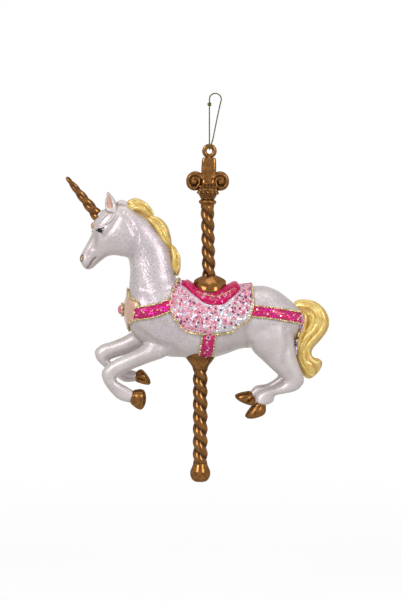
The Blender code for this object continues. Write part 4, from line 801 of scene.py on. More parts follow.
def frames_along(points, closed=False):
    """Tangent, side and up vectors along a line, without sudden turns."""
    points = np.asarray(points, float)
    if closed:
        ahead = np.roll(points, -1, axis=0) - np.roll(points, 1, axis=0)
    else:
        ahead = np.gradient(points, axis=0)
    ahead /= np.maximum(np.linalg.norm(ahead, axis=1, keepdims=True), 1e-9)
    up = np.cross(ahead[0], (0.0, 1.0, 0.0))
    if np.linalg.norm(up) < 0.1:
        up = np.cross(ahead[0], (1.0, 0.0, 0.0))
    ups = []
    for direction in ahead:
        up = unit(up - direction * (up @ direction))
        ups.append(up)
    ups = np.array(ups)
    return ahead, np.cross(ahead, ups), ups


def tube_along(points, radius, sides=8, closed=False, squash=1.0):
    """Rings of a round tube along points; radius is a number or one per point."""
    points = np.asarray(points, float)
    _, side, up = frames_along(points, closed)
    radius = np.broadcast_to(radius, len(points))
    turn = around(sides)
    return points[:, None] + radius[:, None, None] * (
        side[:, None] * np.cos(turn)[None, :, None] + up[:, None] * np.sin(turn)[None, :, None] * squash
    )


def closed_tube(points, radius, sides):
    """Rings of a tube along a closed line, the first one repeated at its end."""
    rings = tube_along(points, radius, sides, closed=True)
    return np.concatenate([rings, rings[:1]])


def resampled(points, spacing, closed=False):
    points = np.asarray(points, float)
    if closed:
        points = np.concatenate([points, points[:1]])
    lengths = np.concatenate([[0], np.cumsum(np.linalg.norm(np.diff(points, axis=0), axis=1))])
    count = max(int(lengths[-1] / spacing), 2)
    at = np.linspace(0, lengths[-1], count + 1)
    made = np.stack([np.interp(at, lengths, points[:, k]) for k in range(3)], axis=1)
    return made[:-1] if closed else made


def level_ring(radius, turn, z, twist=0.0):
    """A ring at one height, radius being a number or one per angle, turned by twist."""
    turn = turn + twist
    return np.stack([radius * np.cos(turn), radius * np.sin(turn), np.full(len(turn), z)], axis=1)


def turned_rings(profile, sides):
    """Rings round the Z axis; profile has points radius, z."""
    return np.array([level_ring(radius, around(sides), z) for radius, z in profile])


def ball(place, radius, angles, sides):
    """A ball from rings at angles from its lowest point."""
    profile = [(radius * math.sin(a), -radius * math.cos(a)) for a in angles]
    return tube_mesh(turned_rings(profile, sides) + np.array(place))


def lean(points, angle):
    """Turns points about the Y axis through the eye."""
    c, s = math.cos(angle), math.sin(angle)
    p = np.asarray(points, float)
    return np.stack([p[..., 0] * c + p[..., 2] * s, p[..., 1], -p[..., 0] * s + p[..., 2] * c], axis=-1)


def crystal(batch, place, size, index):
    """A tiny crystal with flat faces, turned at random."""
    a, b = rng.uniform(0, 6.28), rng.uniform(0, 3.14)
    tip_way = Vector((math.cos(a) * math.sin(b), math.sin(a) * math.sin(b), math.cos(b)))
    turn = np.array(Vector((0, 0, 1)).rotation_difference(tip_way).to_matrix())
    half = size * 0.5
    tip = half * rng.uniform(0.6, 1.1)
    corners = [(half, 0, 0), (0, half, 0), (-half, 0, 0), (0, -half, 0), (0, 0, tip), (0, 0, -tip)]
    batch.add(np.array(corners) @ turn.T + np.asarray(place), CRYSTAL_FACES, index)


def glitter_line(batch, points, width, closed=False, indices=(0,)):
    """A line of glue drops with crystals standing on it, in materials picked from indices."""
    run = resampled(points, CORE_STEP, closed)
    radius = width * 0.36
    batch.add(*tube_mesh(closed_tube(run, radius, 6) if closed else tube_along(run, radius, 6)), indices[0])
    for place in resampled(points, DROP_STEP, closed):
        drop = ball(place, width * rng.uniform(0.42, 0.54), DROP_ANGLES, 9)
        batch.add(*drop, rng.choice(indices))
    for place in resampled(points, CRYSTAL_STEP, closed):
        for _ in range(2):
            off = np.array([rng.gauss(0, width * 0.24) for _ in range(3)])
            crystal(batch, place + off, rng.uniform(0.34, 0.62), rng.choice(indices))


def dish(batch, place, normal, radius, profile, sides, index):
    """A small round shape of (radius share, height share) rings standing on a place."""
    normal = unit(normal)
    u = unit(np.cross(normal, (0.3, 0.2, 0.93)))
    v = np.cross(normal, u)
    turn = around(sides)[:, None]
    rings = [place + radius * (r * (np.cos(turn) * u + np.sin(turn) * v) + h * normal) for r, h in profile]
    batch.add(*tube_mesh(rings), index)


def tilted(normal, amount):
    return normal + np.array([rng.gauss(0, amount) for _ in range(3)])


# The cast animal


def build_animal():
    parts = []
    for sections, sides in ((TORSO, 44), (NECK_AND_HEAD, 40), (FORE_LEG_NEAR, 28), (FORE_LEG_FAR, 28),
                            (HIND_LEG_NEAR, 28), (HIND_LEG_FAR, 28)):
        parts.append(tube_mesh(section_rings(sections, sides, 5)[0]))
    points, faces, edges = remeshed("horse_skin", parts, voxel=0.55, rounds=14)
    x, _, z = points.T
    normal = normals_of(points, faces)
    flank = np.abs(normal[:, 1])
    move = np.zeros(len(points))
    # Painted shade, darker in the sculpted grooves and on faces that look down
    painted_shade = np.zeros(len(points))
    for cx, cz, radius, height in SWELLINGS:
        move += height * bell(np.hypot(x - cx, z - cz), 0, radius) * flank
    for run, width, depth in GROOVES:
        near = bell(distance_to_run(x, z, run), 0, width) * flank
        move -= depth * near
        painted_shade += 0.35 * near
    cx, cz, half_x, half_z, depth = NOSTRIL_HOLLOW
    move -= depth * bell(x, cx, half_x) * bell(z, cz, half_z) * flank
    points = relaxed(points + normal * move[:, None], edges, rounds=1)
    glitter = sum(bell(np.hypot(x - cx, z - cz), 0, radius) for cx, cz, radius in GLITTER_PATCHES)
    # Painted shade on faces that look down
    painted_shade += np.clip(-normal[:, 2] * 0.25, 0, 0.25)
    piece("unicorn_casting", points, faces, PEARL, ["horse_body"], angle=80,
          attributes={"painted_shade": np.clip(painted_shade, 0, 1), "glitter": np.clip(glitter, 0.06, 1)})
    return Surface(points, faces)


skin = build_animal()


def on_side(x, z, side, offset=0.0):
    return skin.from_side(x, z, side, offset)[0]


def axis_z(x):
    """Height of the barrel's axis."""
    table = np.array(TORSO)
    return np.interp(x, table[:, 0], (table[:, 1] + table[:, 3]) / 2)


def on_barrel(x, angle, offset):
    """A place round the barrel and its normal, angle 0 on top and negative on the near side."""
    out = np.array((0.0, math.sin(angle), math.cos(angle)))
    return skin.hit(np.array((x, 0.0, axis_z(x))) + out * FAR, -out, offset)


def barrel_angle(x, z, side):
    place = on_side(x, z, side)
    return math.atan2(place[1], z - axis_z(x))


def round_place(axis_x, angle, z, offset):
    """A place on the skin round an upright axis, angle 0 in front and a quarter turn at either side."""
    out = np.array((-math.cos(angle), math.sin(angle), 0.0))
    return skin.hit(np.array((axis_x, 0.0, z)) + out * FAR, -out, offset)[0]


def stroke(batch, line, radius, offset, side):
    """A painted line on the skin, tapered at both ends; line has points x, z."""
    run = smooth_table(line, 8)
    places = np.array([on_side(x, z, side, offset) for x, z in run])
    taper = 0.35 + 0.65 * np.sin(np.pi * np.linspace(0, 1, len(run))) ** 0.6
    batch.add(*tube_mesh(tube_along(places, radius * taper, 8, squash=0.6)))


def build_face():
    eyes, lips, nostrils = Batch(), Batch(), Batch()
    lid_x, lid_z, lid_length, lid_height = EYELID
    axis_x, middle, half, nostril_z, nostril_height = NOSTRIL
    sides = 24
    for side in (-1, 1):
        rings = [[on_side(lid_x + lid_length * reach * math.cos(t), lid_z + lid_height * reach * math.sin(t),
                          side, rise) for t in around(20)] for reach, rise in EYELID_RINGS]
        eyes.add(*tube_mesh(rings))
        for line in EYE_STROKES:
            stroke(eyes, *line, side)
        stroke(lips, *LIP_STROKE, side)
        ring = np.array([round_place(axis_x, side * (middle + half * math.cos(t)),
                                     nostril_z + nostril_height * math.sin(t), 0.02) for t in around(sides)])
        nostrils.add(*tube_mesh(closed_tube(ring, 0.26, 8)), 0)
        fan = [(k, (k + 1) % sides, sides) for k in range(sides)]
        nostrils.add(np.concatenate([ring, [ring.mean(axis=0)]]), fan, 1)
    eyes.put("painted_eyes", BLACK, angle=60, slot="pearl_paint")
    lips.put("painted_lips", BROWN, angle=60, slot="copper_paint")
    nostrils.put("painted_nostrils", BROWN, materials=[PEACH], angle=60, slot="copper_paint")


def build_ear(word, side):
    """An ear with a cup that faces outwards and a little forwards."""
    rows, sides = 26, 32
    foot_z, height, middle_y, cup_way, cup_half = EAR
    rings, inner = [], []
    for t in np.arange(rows) / (rows - 1):
        # Edges of the ear seen from the side
        front = -51.75 - 0.25 * math.sin(math.pi * t) + 0.95 * t**3
        back = -45.7 + 0.35 * math.sin(2.2 * t) - 5.0 * t**2.2
        middle, reach = (front + back) / 2, (back - front) / 2
        z = foot_z + height * t
        half = 2.0 * (1 - t**2.5) + 0.25
        depth = min(max((t - 0.1) * 5, 0), 1) * max(0.93 - t, 0) ** 0.35
        ring, cup = [], []
        for turn in around(sides):
            y = math.sin(turn)
            facing = max(0.0, 1 - ((turn - cup_way) / cup_half) ** 2) if y > 0 else 0.0
            hollow = facing**0.7 * depth
            ring.append((middle + reach * math.cos(turn), side * (middle_y + half * (y - 1.2 * hollow)),
                         z - 0.8 * math.cos(turn) * (1 - t)))
            cup.append(min(hollow * 1.4, 1))
        rings.append(ring)
        inner.append(cup)
    points, faces = tube_mesh(rings)
    inner = np.array(inner)
    # The cup takes a little painted shade; the tip is painted darker in the same colour
    tip = np.repeat(np.clip((np.linspace(0, 1, rows) - 0.84) * 9, 0, 1), sides)
    which = [int(inner[min(f) // sides % rows, min(f) % sides] > 0.35) if len(f) == 4 else 0 for f in faces]
    shade = {"painted_shade": np.clip(inner.ravel() * 0.2 + tip, 0, 1), "glitter": np.full(inner.size, 0.1)}
    piece(f"ear_shell_{word}", points, faces, PEARL, [f"ear_{word}"], materials=[PEACH], which=which,
          attributes=shade, angle=70)


def hair_ridge(count, depth, drift):
    """Broad ridges with fine ones on them, drifting round along a lock."""
    def ridge(turn, share):
        wave = np.abs(np.cos(count * turn / 2 + drift * share))
        fine = np.cos(count * 2.5 * turn + drift * 2 * share + 1.3)
        return 1 - depth * (1 - wave**0.6) - depth * 0.175 * (1 - fine)
    return ridge


def lock(node_name, sections, ridge, sides=72, steps=14):
    """A carved lock of hair in place of a node; returns its surface."""
    rings, depth = section_rings(sections, sides, steps, ridge)
    points, faces = tube_mesh(rings)
    # Painted shade in the grooves, as deep as they are
    piece(node_name + "_carved", points, faces, HAIR, [node_name], angle=75,
          attributes={"painted_shade": depth * 0.8})
    return Surface(points, faces[:-2])


def strand(batch, places, radius, sides=14, squash=1.0):
    """A tapered strand through places."""
    taper = np.sin(np.pi * (0.08 + 0.84 * np.linspace(0, 1, len(places)))) ** 0.6
    batch.add(*tube_mesh(tube_along(places, radius * taper, sides, squash=squash)))


def carve(batch, surface, line, radius):
    """Half-sunk strands on both sides of a lock; line has points x, z."""
    for side in (-1, 1):
        places = np.array([surface.beside(x, z, side) for x, z in smooth_table(line, 9)])
        places[:, 1] -= side * radius * 0.42
        strand(batch, places, radius)


def build_hair():
    strands = Batch()
    for name, sections in MANE.items():
        surface = lock(name, sections, hair_ridge(count=5, depth=0.14, drift=1.6))
        for line in MANE_STRANDS[name]:
            carve(strands, surface, line, 1.05)
    surface = lock("tail", TAIL, hair_ridge(count=7, depth=0.12, drift=2.2), sides=96, steps=12)
    for line, radius in TAIL_STRANDS:
        carve(strands, surface, line, radius)
    for line, radius in TAIL_INNER:
        strand(strands, smooth_table(line, 10), radius, 18)
    strands.put("hair_strands", HAIR, angle=70, attributes={"painted_shade": np.full(strands.count, 0.03)},
                slot="gold_hair_paint")
    root = Batch()
    for side in (-1, 1):
        for line, indices in TAIL_ROOT_LINES:
            glitter_line(root, smooth_table(mirrored(line, side), 6), 1.4, indices=indices)
    root.put("tail_root_glitter", TRIM, materials=[FLAKE, COPPER, RING, BEAD], angle=20, slot="gold_glitter")
    forelock = Batch()
    for side in (-1, 1):
        for line, radius in FORELOCK:
            run = smooth_table(mirrored(line, side), 8)
            strand(forelock, np.array([skin.nearest(p, -0.25)[0] for p in run]), radius, 12, 0.8)
    for line, radius in CREST_TUFT:
        strand(forelock, smooth_table(line, 8), radius)
    shade = {"painted_shade": np.zeros(forelock.count), "glitter": np.full(forelock.count, 0.15)}
    forelock.put("forelock", PEARL, angle=70, attributes=shade, slot="pearl_paint")


def build_horn():
    turn = around(44)
    steps, spread = 130, HORN_FOOT_RADIUS - HORN_TIP_RADIUS
    rings, depth = [], []
    for i in range(-6, steps + 1):
        share = max(i / steps, -0.05)
        wave = 1 - np.abs(np.cos(turn + 2 * np.pi * (HORN_TURNS * share + HORN_FIRST_TURN)))
        r = (HORN_TIP_RADIUS + spread * (1 - max(share, 0)) ** 0.6) * (1 - HORN_GROOVE * wave)
        if share > 0.97:
            r = r * math.sqrt(max(1 - ((share - 0.97) / 0.035) ** 2, 0.15))
        rings.append(level_ring(r, turn, HORN_LENGTH * share))
        # Painted shade in the spiral grooves
        depth.append(np.clip(wave**1.2 * 1.1 - 0.05, 0, 1) * 0.8)
    rings = lean(rings, HORN_LEAN) + np.array(HORN_FOOT)
    copper_piece("horn_carved", "horn", *tube_mesh(rings), depth, 70)


def build_hooves():
    turn = around(48)
    for name, (leg, sole) in HOOVES.items():
        x1, z1, x2, z2, y, half = leg[-1]
        rings, depth = [], []
        for share in [*(i / 40 for i in range(-2, 41)), 1.02, 1.04, 1.055, 1.065, 1.07]:
            bulge = 0.24 * math.sin(math.pi * min(max(share, 0), 1) ** 0.8)
            coronet = 0.1 * bell(share, 0.06, 0.06)
            rounding = math.sqrt(1 - (max(share - 0.72, 0) / 0.355) ** 2)
            ripple = 1 + 0.008 * math.sin(share * 60)
            left, low, right, high, wide = [a + (b - a) * share for a, b in zip((x1, z1, x2, z2, half), sole)]
            swell = (1 + bulge + coronet) * rounding * ripple
            rings.append(section_ring((left, low, right, high, y, wide), turn, swell))
            # Painted shade below the coronet and towards the sole
            coronet_shade, sole_shade = 0.45 * bell(share, 0.16, 0.05), 0.5 * max((share - 0.8) / 0.27, 0)
            depth.append(np.full(len(turn), min(coronet_shade + sole_shade, 1)))
        copper_piece(name + "_cast", name, *tube_mesh(rings), depth)


# Saddle and straps


def saddle_grid(edge, top_x, columns, rows):
    """Grid of (x, angle) over the barrel between the near and the far lower edge."""
    run = smooth_table(edge, 8)
    at = np.linspace(0, len(run) - 1, columns + 1)
    low = np.stack([np.interp(at, np.arange(len(run)), run[:, k]) for k in range(2)], axis=1)
    across = range(-rows, rows + 1)
    grid = []
    for (x_low, z_low), share in zip(low, np.linspace(0, 1, columns + 1)):
        x_top = top_x[0] + (top_x[1] - top_x[0]) * share
        angle = barrel_angle(x_low, z_low, -1)
        grid.append([(x_top + (x_low - x_top) * (abs(j) / rows), -angle * j / rows) for j in across])
    return grid


def skirted(rows, columns, place, sink):
    """A raised patch with a skirt: place(i, j) gives its places and sink(i, j) those under its rim."""
    points = []
    for i in range(-1, rows + 1):
        for j in range(-1, columns + 1):
            inner = min(max(i, 0), rows - 1), min(max(j, 0), columns - 1)
            points.append(place(i, j) if inner == (i, j) else sink(*inner))
    return np.array(points), grid_faces(rows + 2, columns + 2, closed=False)


def saddle_patch(grid, sink, height):
    """A patch over a grid of (x, angle) with a rounded rim; height takes x, angle and steps from the rim."""
    rows, columns = len(grid), len(grid[0])

    def top(i, j):
        x, angle = grid[i][j]
        return on_barrel(x, angle, height(x, angle, min(i, rows - 1 - i, j, columns - 1 - j)))[0]

    return skirted(rows, columns, top, lambda i, j: on_barrel(*grid[i][j], sink)[0])


def seat_rise(x, angle):
    """Extra height of the seat at its front and rear."""
    fade = max(math.cos(angle * 1.6), 0) if abs(angle) < math.pi / 3.2 else 0
    return sum(height * bell(x, middle, length) for middle, length, height in SEAT_RISES) * fade


def on_blanket(grid, u, v, offset):
    i, j = u * (len(grid) - 1), v * (len(grid[0]) - 1)
    a, b = int(min(i, len(grid) - 2)), int(min(j, len(grid[0]) - 2))
    x = grid[a][b][0] + (grid[a + 1][b][0] - grid[a][b][0]) * (i - a)
    angle = grid[a][b][1] + (grid[a][b + 1][1] - grid[a][b][1]) * (j - b)
    return on_barrel(x, angle, offset)


def under_seat(place):
    edge = np.array(SEAT_EDGE)
    x, z = place[0], place[2]
    return edge[0, 0] - 0.5 < x < edge[-1, 0] + 0.3 and z > np.interp(x, edge[:, 0], edge[:, 1]) - 0.9


def scatter(grid, tries, gap, keep):
    """Random places on the blanket, gap apart; keep gives the chance that one stays."""
    made = []
    for _ in range(tries):
        u, v = rng.uniform(0.02, 0.98), rng.uniform(0.015, 0.985)
        place, normal = on_blanket(grid, u, v, BLANKET_TOP - 0.05)
        if under_seat(place) or rng.random() > keep(place):
            continue
        if made and np.min(np.sum((np.array([other for other, _ in made]) - place) ** 2, axis=1)) < gap**2:
            continue
        made.append((place, normal))
    return made


def sequin_zone(place):
    """How likely a sequin is kept at a place, and the share of dark beads there."""
    edge = np.array(BLANKET_EDGE)
    x = place[0]
    rise = place[2] - np.interp(x, edge[:, 0], edge[:, 1])
    if x > 1.5 and rise < 2.2 + 0.28 * min(x - 1.5, 10):
        return 0.003, 0.8
    if x > 11 and rise > 5:
        return 0.5, 0.55
    if x > 3:
        return 0.08, 0.25
    return 1.0, 0.42 if x < 0 and rise < 4.5 else 0.2


def build_blanket():
    grid = saddle_grid(BLANKET_EDGE, BLANKET_TOP_X, 60, 64)
    points, faces = saddle_patch(
        grid, -0.5, lambda x, a, inward: rounded(BLANKET_RIM, BLANKET_TOP - BLANKET_RIM, inward, 1.1)
    )
    piece("blanket_cloth", points, faces, CLOTH, ["saddle_blanket"], angle=60)
    sequins = Batch()
    ring, flake, dark, pink = range(4)
    for place, normal in scatter(grid, tries=8000, gap=2.0, keep=lambda p: sequin_zone(p)[0]):
        dish(sequins, place - normal * 0.1, tilted(normal, 0.14), rng.uniform(1.2, 1.6), SEQUIN, 18, ring)
        if rng.random() < 0.6:
            index = dark if rng.random() < sequin_zone(place)[1] * 1.4 else rng.choice((flake, flake, pink))
            dish(sequins, place, normal, rng.uniform(0.4, 0.55), DOME, 8, index)
    for place, normal in scatter(grid, tries=3000, gap=1.5, keep=lambda p: 0.03 + 0.7 * sequin_zone(p)[0]):
        if rng.random() < sequin_zone(place)[1]:
            shape, size, index = (DOME, PLATELET)[rng.random() < 0.5], rng.uniform(0.45, 0.65), dark
        elif rng.random() < 0.25:
            shape, size, index = DOME, rng.uniform(0.35, 0.45), pink
        else:
            shape, size, index = PLATELET, rng.uniform(0.45, 0.75), flake
        dish(sequins, place + normal * 0.1, tilted(normal, 0.2), size, shape, 8, index)
    for x, z in GIRTH_SEQUINS:
        place, normal = skin.from_side(x, z, -1, 1.45)
        dish(sequins, place, tilted(normal, 0.15), 1.35, SEQUIN, 16, ring)
        dish(sequins, place + normal * 0.15, normal, 0.45, DOME, 8, dark)
    sequins.put("blanket_sequins", RING, materials=[FLAKE, BEAD, SEED], angle=35, slot="sequin_pink")

    trim = Batch()
    near, far = [line[0] for line in grid], [line[-1] for line in reversed(grid)]
    border = near + grid[-1][1:-1] + far + grid[0][-2:0:-1]
    glitter_line(trim, [on_barrel(x, a, 1.0)[0] for x, a in border], 1.3, closed=True)
    trim.put("blanket_glitter_rope", TRIM, ["blanket_trim"], angle=20)


def build_seat():
    grid = saddle_grid(SEAT_EDGE, SEAT_TOP_X, 44, 48)
    points, faces = saddle_patch(
        grid, 1.0, lambda x, a, inward: rounded(1.5, 1.35 + seat_rise(x, a), inward, 1.3)
    )
    piece("seat_leather", points, faces, SEAT, ["saddle_seat"], angle=60)
    seat = Surface(points, faces)
    line = Batch()
    run = smooth_table(SEAT_LINE, 10)
    for side in (-1, 1):
        glitter_line(line, [seat.from_side(x, z, side, 0.05)[0] for x, z in run], 0.55)
        for x, z in run[3:-3]:
            for _ in range(3):
                place, normal = seat.from_side(x + rng.uniform(-0.5, 0.5), z + rng.uniform(-1.9, 0.9), side)
                normal, size = tilted(normal, 0.35), rng.uniform(0.24, 0.46)
                dish(line, place, normal, size, PLATELET, 6, rng.choice((0, 1, 1, 2)))
    line.put("seat_glitter_line", TRIM, materials=[FLAKE, SEED], angle=20, slot="gold_glitter")
    return seat


def add_strap(band, node_name, rows, width, at, trim, jewel_rows, trims, jewels):
    """One strap with glittering edges and a zigzag of jewels.

    at(row, across, offset) gives a place and its normal. trim is (offset, width) of the glitter.
    """
    last = 12

    def place(i, j, height):
        return at(i, width * (j - last / 2) / last, height)[0]

    def top(i, j):
        return place(i, j, rounded(0.35, 0.8, min(j, last - j), 0.9))

    points, faces = skirted(rows, last + 1, top, lambda i, j: place(i, j, SKIRT))
    piece(band, points, faces, STRAP, [node_name], angle=60)
    for edge in (-0.5, 0.5):
        glitter_line(trims, [at(row, edge * width, trim[0])[0] for row in range(rows)], trim[1])
    for i, row in enumerate(jewel_rows):
        place, normal = at(row, 0.9 * math.sin(i * 1.3), 1.1)
        if i % 3 == 2:
            dish(jewels, place, normal, 0.34, DOME, 8, 1)
        else:
            dish(jewels, place, tilted(normal, 0.3), rng.uniform(0.42, 0.66), PLATELET, 6, 0)


def build_straps():
    trims, jewels = Batch(), Batch()
    for side, word in SIDES:
        for name, (line, width) in STRAPS.items():
            run = smooth_table(line, 12)
            add_strap(f"{name}_band_{word}", f"{name}_{word}", len(run), width,
                      lambda i, across, rise: skin.from_side(run[i][0], run[i][1] + across, side, rise),
                      (0.7, 1.12), range(2, len(run) - 1, 2), trims, jewels)
        start, end = abs(barrel_angle(GIRTH_X[0], GIRTH_TOP_Z, side)), math.pi - 0.45
        run = []
        for share in np.linspace(0, 1, 26):
            x = GIRTH_X[0] + (GIRTH_X[1] - GIRTH_X[0]) * share
            angle = side * (start + (end - start) * share)
            if abs(on_barrel(x, angle, 0.5)[0][1]) < GIRTH_END_Y:
                break
            run.append((x, angle))
        add_strap(f"girth_band_{word}", f"girth_strap_{word}", len(run), GIRTH_WIDTH,
                  lambda i, across, rise: on_barrel(run[i][0] + across, run[i][1], rise),
                  (0.6, 1.05), range(1, len(run), 2), trims, jewels)
    trims.put("strap_glitter_edges", TRIM, angle=20, slot="gold_glitter")
    jewels.put("strap_jewels", GOLD_FLAKE, materials=[SEED], angle=35, slot="gold_glitter")


def build_plate():
    sides, rings = 96, 24
    axis_x, middle, half = PLATE
    points, rim = [], []
    for i in range(rings + 2):
        share = min(i / rings, 1.0)
        offset = rounded(0.35, 0.75, (1 - share) * 12, 0.8) if i <= rings else SKIRT
        for turn in around(sides):
            # A diamond with its side corners cut off
            across, rise = abs(math.cos(turn)), abs(math.sin(turn))
            reach = share * min(1 / (0.62 * across + rise), 1 / max(across, 0.01))
            angle, z = math.pi / 2 * reach * math.cos(turn), middle + half * reach * math.sin(turn)
            points.append(round_place(axis_x, angle, z, offset))
            if i == rings:
                rim.append(round_place(axis_x, angle, z, 0.7))
    piece("breast_plate_shell", points, grid_faces(rings + 2, sides), PEACH, ["breast_medallion"], angle=60)
    trim = Batch()
    low, high = PLATE_STRAP_Z
    for part in ([p for p in rim if p[2] > high], [p for p in rim if p[2] < low]):
        glitter_line(trim, part, 1.25)
    trim.put("breast_plate_glitter", TRIM, angle=20, slot="gold_glitter")


def seated(x, z, outward, rise):
    """The skin's point in front of x, z, moved outwards by rise."""
    outward = np.array(outward)
    return skin.hit(np.array((x, 0, z)) + outward * 20, -outward)[0] + outward * rise


def gem(name, middle, outward, rise, bezel, stone, beads):
    """Faceted stone in a beaded dish; bezel and stone are (radius, height)."""
    place = seated(*middle, outward, rise)
    outward = unit(outward)
    setting = Batch()
    r, h = bezel
    inner = stone[0] + 0.12
    profile = ((r * 0.8, -0.2), (r, h * 0.45), (r * 0.93, h), (inner, h), (inner, h * 0.3))
    dish(setting, place, outward, 1.0, profile, 40, 0)
    u = unit(np.cross(outward, (0, 1.0, 0.02)))
    v = np.cross(outward, u)
    for turn in around(beads):
        reach = (r - 0.32 * h) * (math.cos(turn) * u + math.sin(turn) * v)
        dish(setting, place + reach + outward * h * 0.78, outward, h * 0.42, BEZEL_BEAD, 10, 0)
    setting.put(f"{name}_setting_beaded", TRIM, [f"{name}_setting"], angle=40)
    cut = Batch()
    base = h * 0.4
    r, h = stone
    facets = ((r, base), (r, base + 0.2 * h), (r * 0.86, base + h * 0.62), (r * 0.55, base + h * 0.92),
              (r * 0.3, base + h))
    dish(cut, place, outward, 1.0, facets, 12, 0)
    cut.put(f"{name}_cut", GEM, [name], angle=8)


def build_gems():
    for row in GEMS:
        gem(*row)
    drop = Batch()
    middle, outward, rise = BROW_DROP
    dish(drop, seated(*middle, outward, rise), outward, 0.75, DOME, 14, 0)
    drop.put("brow_drop", TRIM, angle=40, slot="gold_glitter")


# Metal parts


def twisted_pole(length, radius, first_bulge):
    """Two twisted strands that hang down from z = 0; they start a little above, inside their neighbour."""
    turn = around(64)
    wave = 1 - np.abs(np.cos(turn))
    r = radius - GROOVE_DEPTH * wave**0.9
    rings = [level_ring(r, turn, z, -2 * np.pi * (z + first_bulge) / POLE_LEAD)
             for z in np.arange(0.5, -length - 0.4, -0.3)]
    # The second array is painted shade in the grooves between the strands
    return np.array(rings), np.tile(np.clip(wave**1.3 * 1.15 - 0.08, 0, 1), len(rings))


def build_upper_pole(seat):
    """The upper pole, and at its foot the flange that drapes over the seat."""
    top = np.array((math.sin(FINIAL_LEAN), 0, math.cos(FINIAL_LEAN))) * UPPER_POLE_TOP
    rings, depth = twisted_pole(UPPER_POLE_LENGTH, radius=3.45, first_bulge=2.9)
    copper_piece("upper_pole_twist", "upper_pole", *tube_mesh(lean(rings, UPPER_POLE_LEAN) + top), depth)
    foot = top + np.array((-math.sin(UPPER_POLE_LEAN), 0, -math.cos(UPPER_POLE_LEAN))) * UPPER_POLE_LENGTH
    centre_x, crown = foot[0] + 0.5, foot[2] + 0.5
    turn = around(96)
    x, y = FLANGE_RADIUS * np.cos(turn), FLANGE_RADIUS * np.sin(turn)
    base = np.array([seat.hit((centre_x + dx, dy, 0), (0, 0, -1))[0][2] for dx, dy in zip(x, y)])
    droop = foot[2] - FLANGE_DROP - FLANGE_DRAPE * np.abs(np.sin(turn)) ** 1.1
    rim = np.maximum(droop, base + 0.2)
    # Rows: share of the radius, height and painted shade; the shade lies in a ring near the pole and under
    # the rim
    rows = []
    for share in np.linspace(FLANGE_INNER, 1.0, 26):
        out = (share - FLANGE_INNER) / (1 - FLANGE_INNER)
        rise = 0.62 * math.sqrt(max(1 - out**2, 0)) + 0.38 * (1 - out) ** 1.6
        rows.append((share, rim + (crown - rim) * rise, 0.45 * bell(share, 0.34, 0.05)))
    rows += [(1.005, rim - 0.45, 0.4), (0.97, rim - 0.85, 0.4)]
    rings = [np.stack([centre_x + x * share, y * share, z], axis=1) for share, z, _ in rows]
    hollow = np.repeat([row[2] for row in rows], len(turn))
    copper_piece("saddle_flange_cast", "saddle_flange", *tube_mesh(rings), hollow)


def build_lower_pole():
    """The cup under the belly, the lower pole and its foot."""
    rings, depth = twisted_pole(LOWER_POLE_LENGTH, radius=3.8, first_bulge=4.7)
    rings += np.array((LOWER_POLE_X, 0, LOWER_POLE_TOP))
    copper_piece("lower_pole_twist", "lower_pole", *tube_mesh(rings), depth)

    sides = 64

    def turned(name, node_name, table, base, shade):
        profile = smooth_table(table, 5)
        rings = turned_rings(profile, sides) + np.array((LOWER_POLE_X, 0, base))
        hollow = np.repeat([shade(z) for _, z in profile], sides)
        copper_piece(name, node_name, *tube_mesh(rings), hollow)

    # Painted shade where the cup meets the pole and up towards the belly, and where the foot meets the pole
    turned("belly_cup_cast", "belly_cup", BELLY_CUP_PROFILE, LOWER_POLE_TOP,
           lambda z: 0.55 * bell(z, 0.3, 0.6) + 0.3 * min(max((z - 4.6) / 1.5, 0), 1))
    turned("pole_foot_cast", "pole_foot", POLE_FOOT_PROFILE, LOWER_POLE_TOP - LOWER_POLE_LENGTH - 0.3,
           lambda z: 0.7 * bell(z, -0.1, 0.5))


def scroll_parts(x, z, way):
    """A spiral band that narrows inwards, with a thin web behind it and a boss in its middle."""
    share = np.linspace(0, 1, 90)
    swing = SCROLL_START - share * SCROLL_WINDING
    reach, thick, wide = [(first - less * share)[:, None] for first, less in SCROLL_BAND]
    turn = around(18)
    out = reach + thick * np.cos(turn)
    band = np.stack([x + way * out * np.cos(swing)[:, None], wide * np.sin(turn),
                     z + SCROLL_STRETCH * out * np.sin(swing)[:, None]], axis=2)
    parts = [tube_mesh(band[:, ::-1] if way < 0 else band)]
    for radius, half in ((3.9, 1.0), (1.25, 1.9)):
        profile = ((0.1, -half), (radius * 0.75, -half), (radius, -half * 0.5), (radius, half * 0.5),
                   (radius * 0.75, half), (0.1, half))
        web = turned_rings(profile, 36)
        web = np.stack([web[..., 0] + x, web[..., 2], SCROLL_STRETCH * web[..., 1] + z], axis=-1)
        parts.append(tube_mesh(web[:, ::-1]))
    return parts


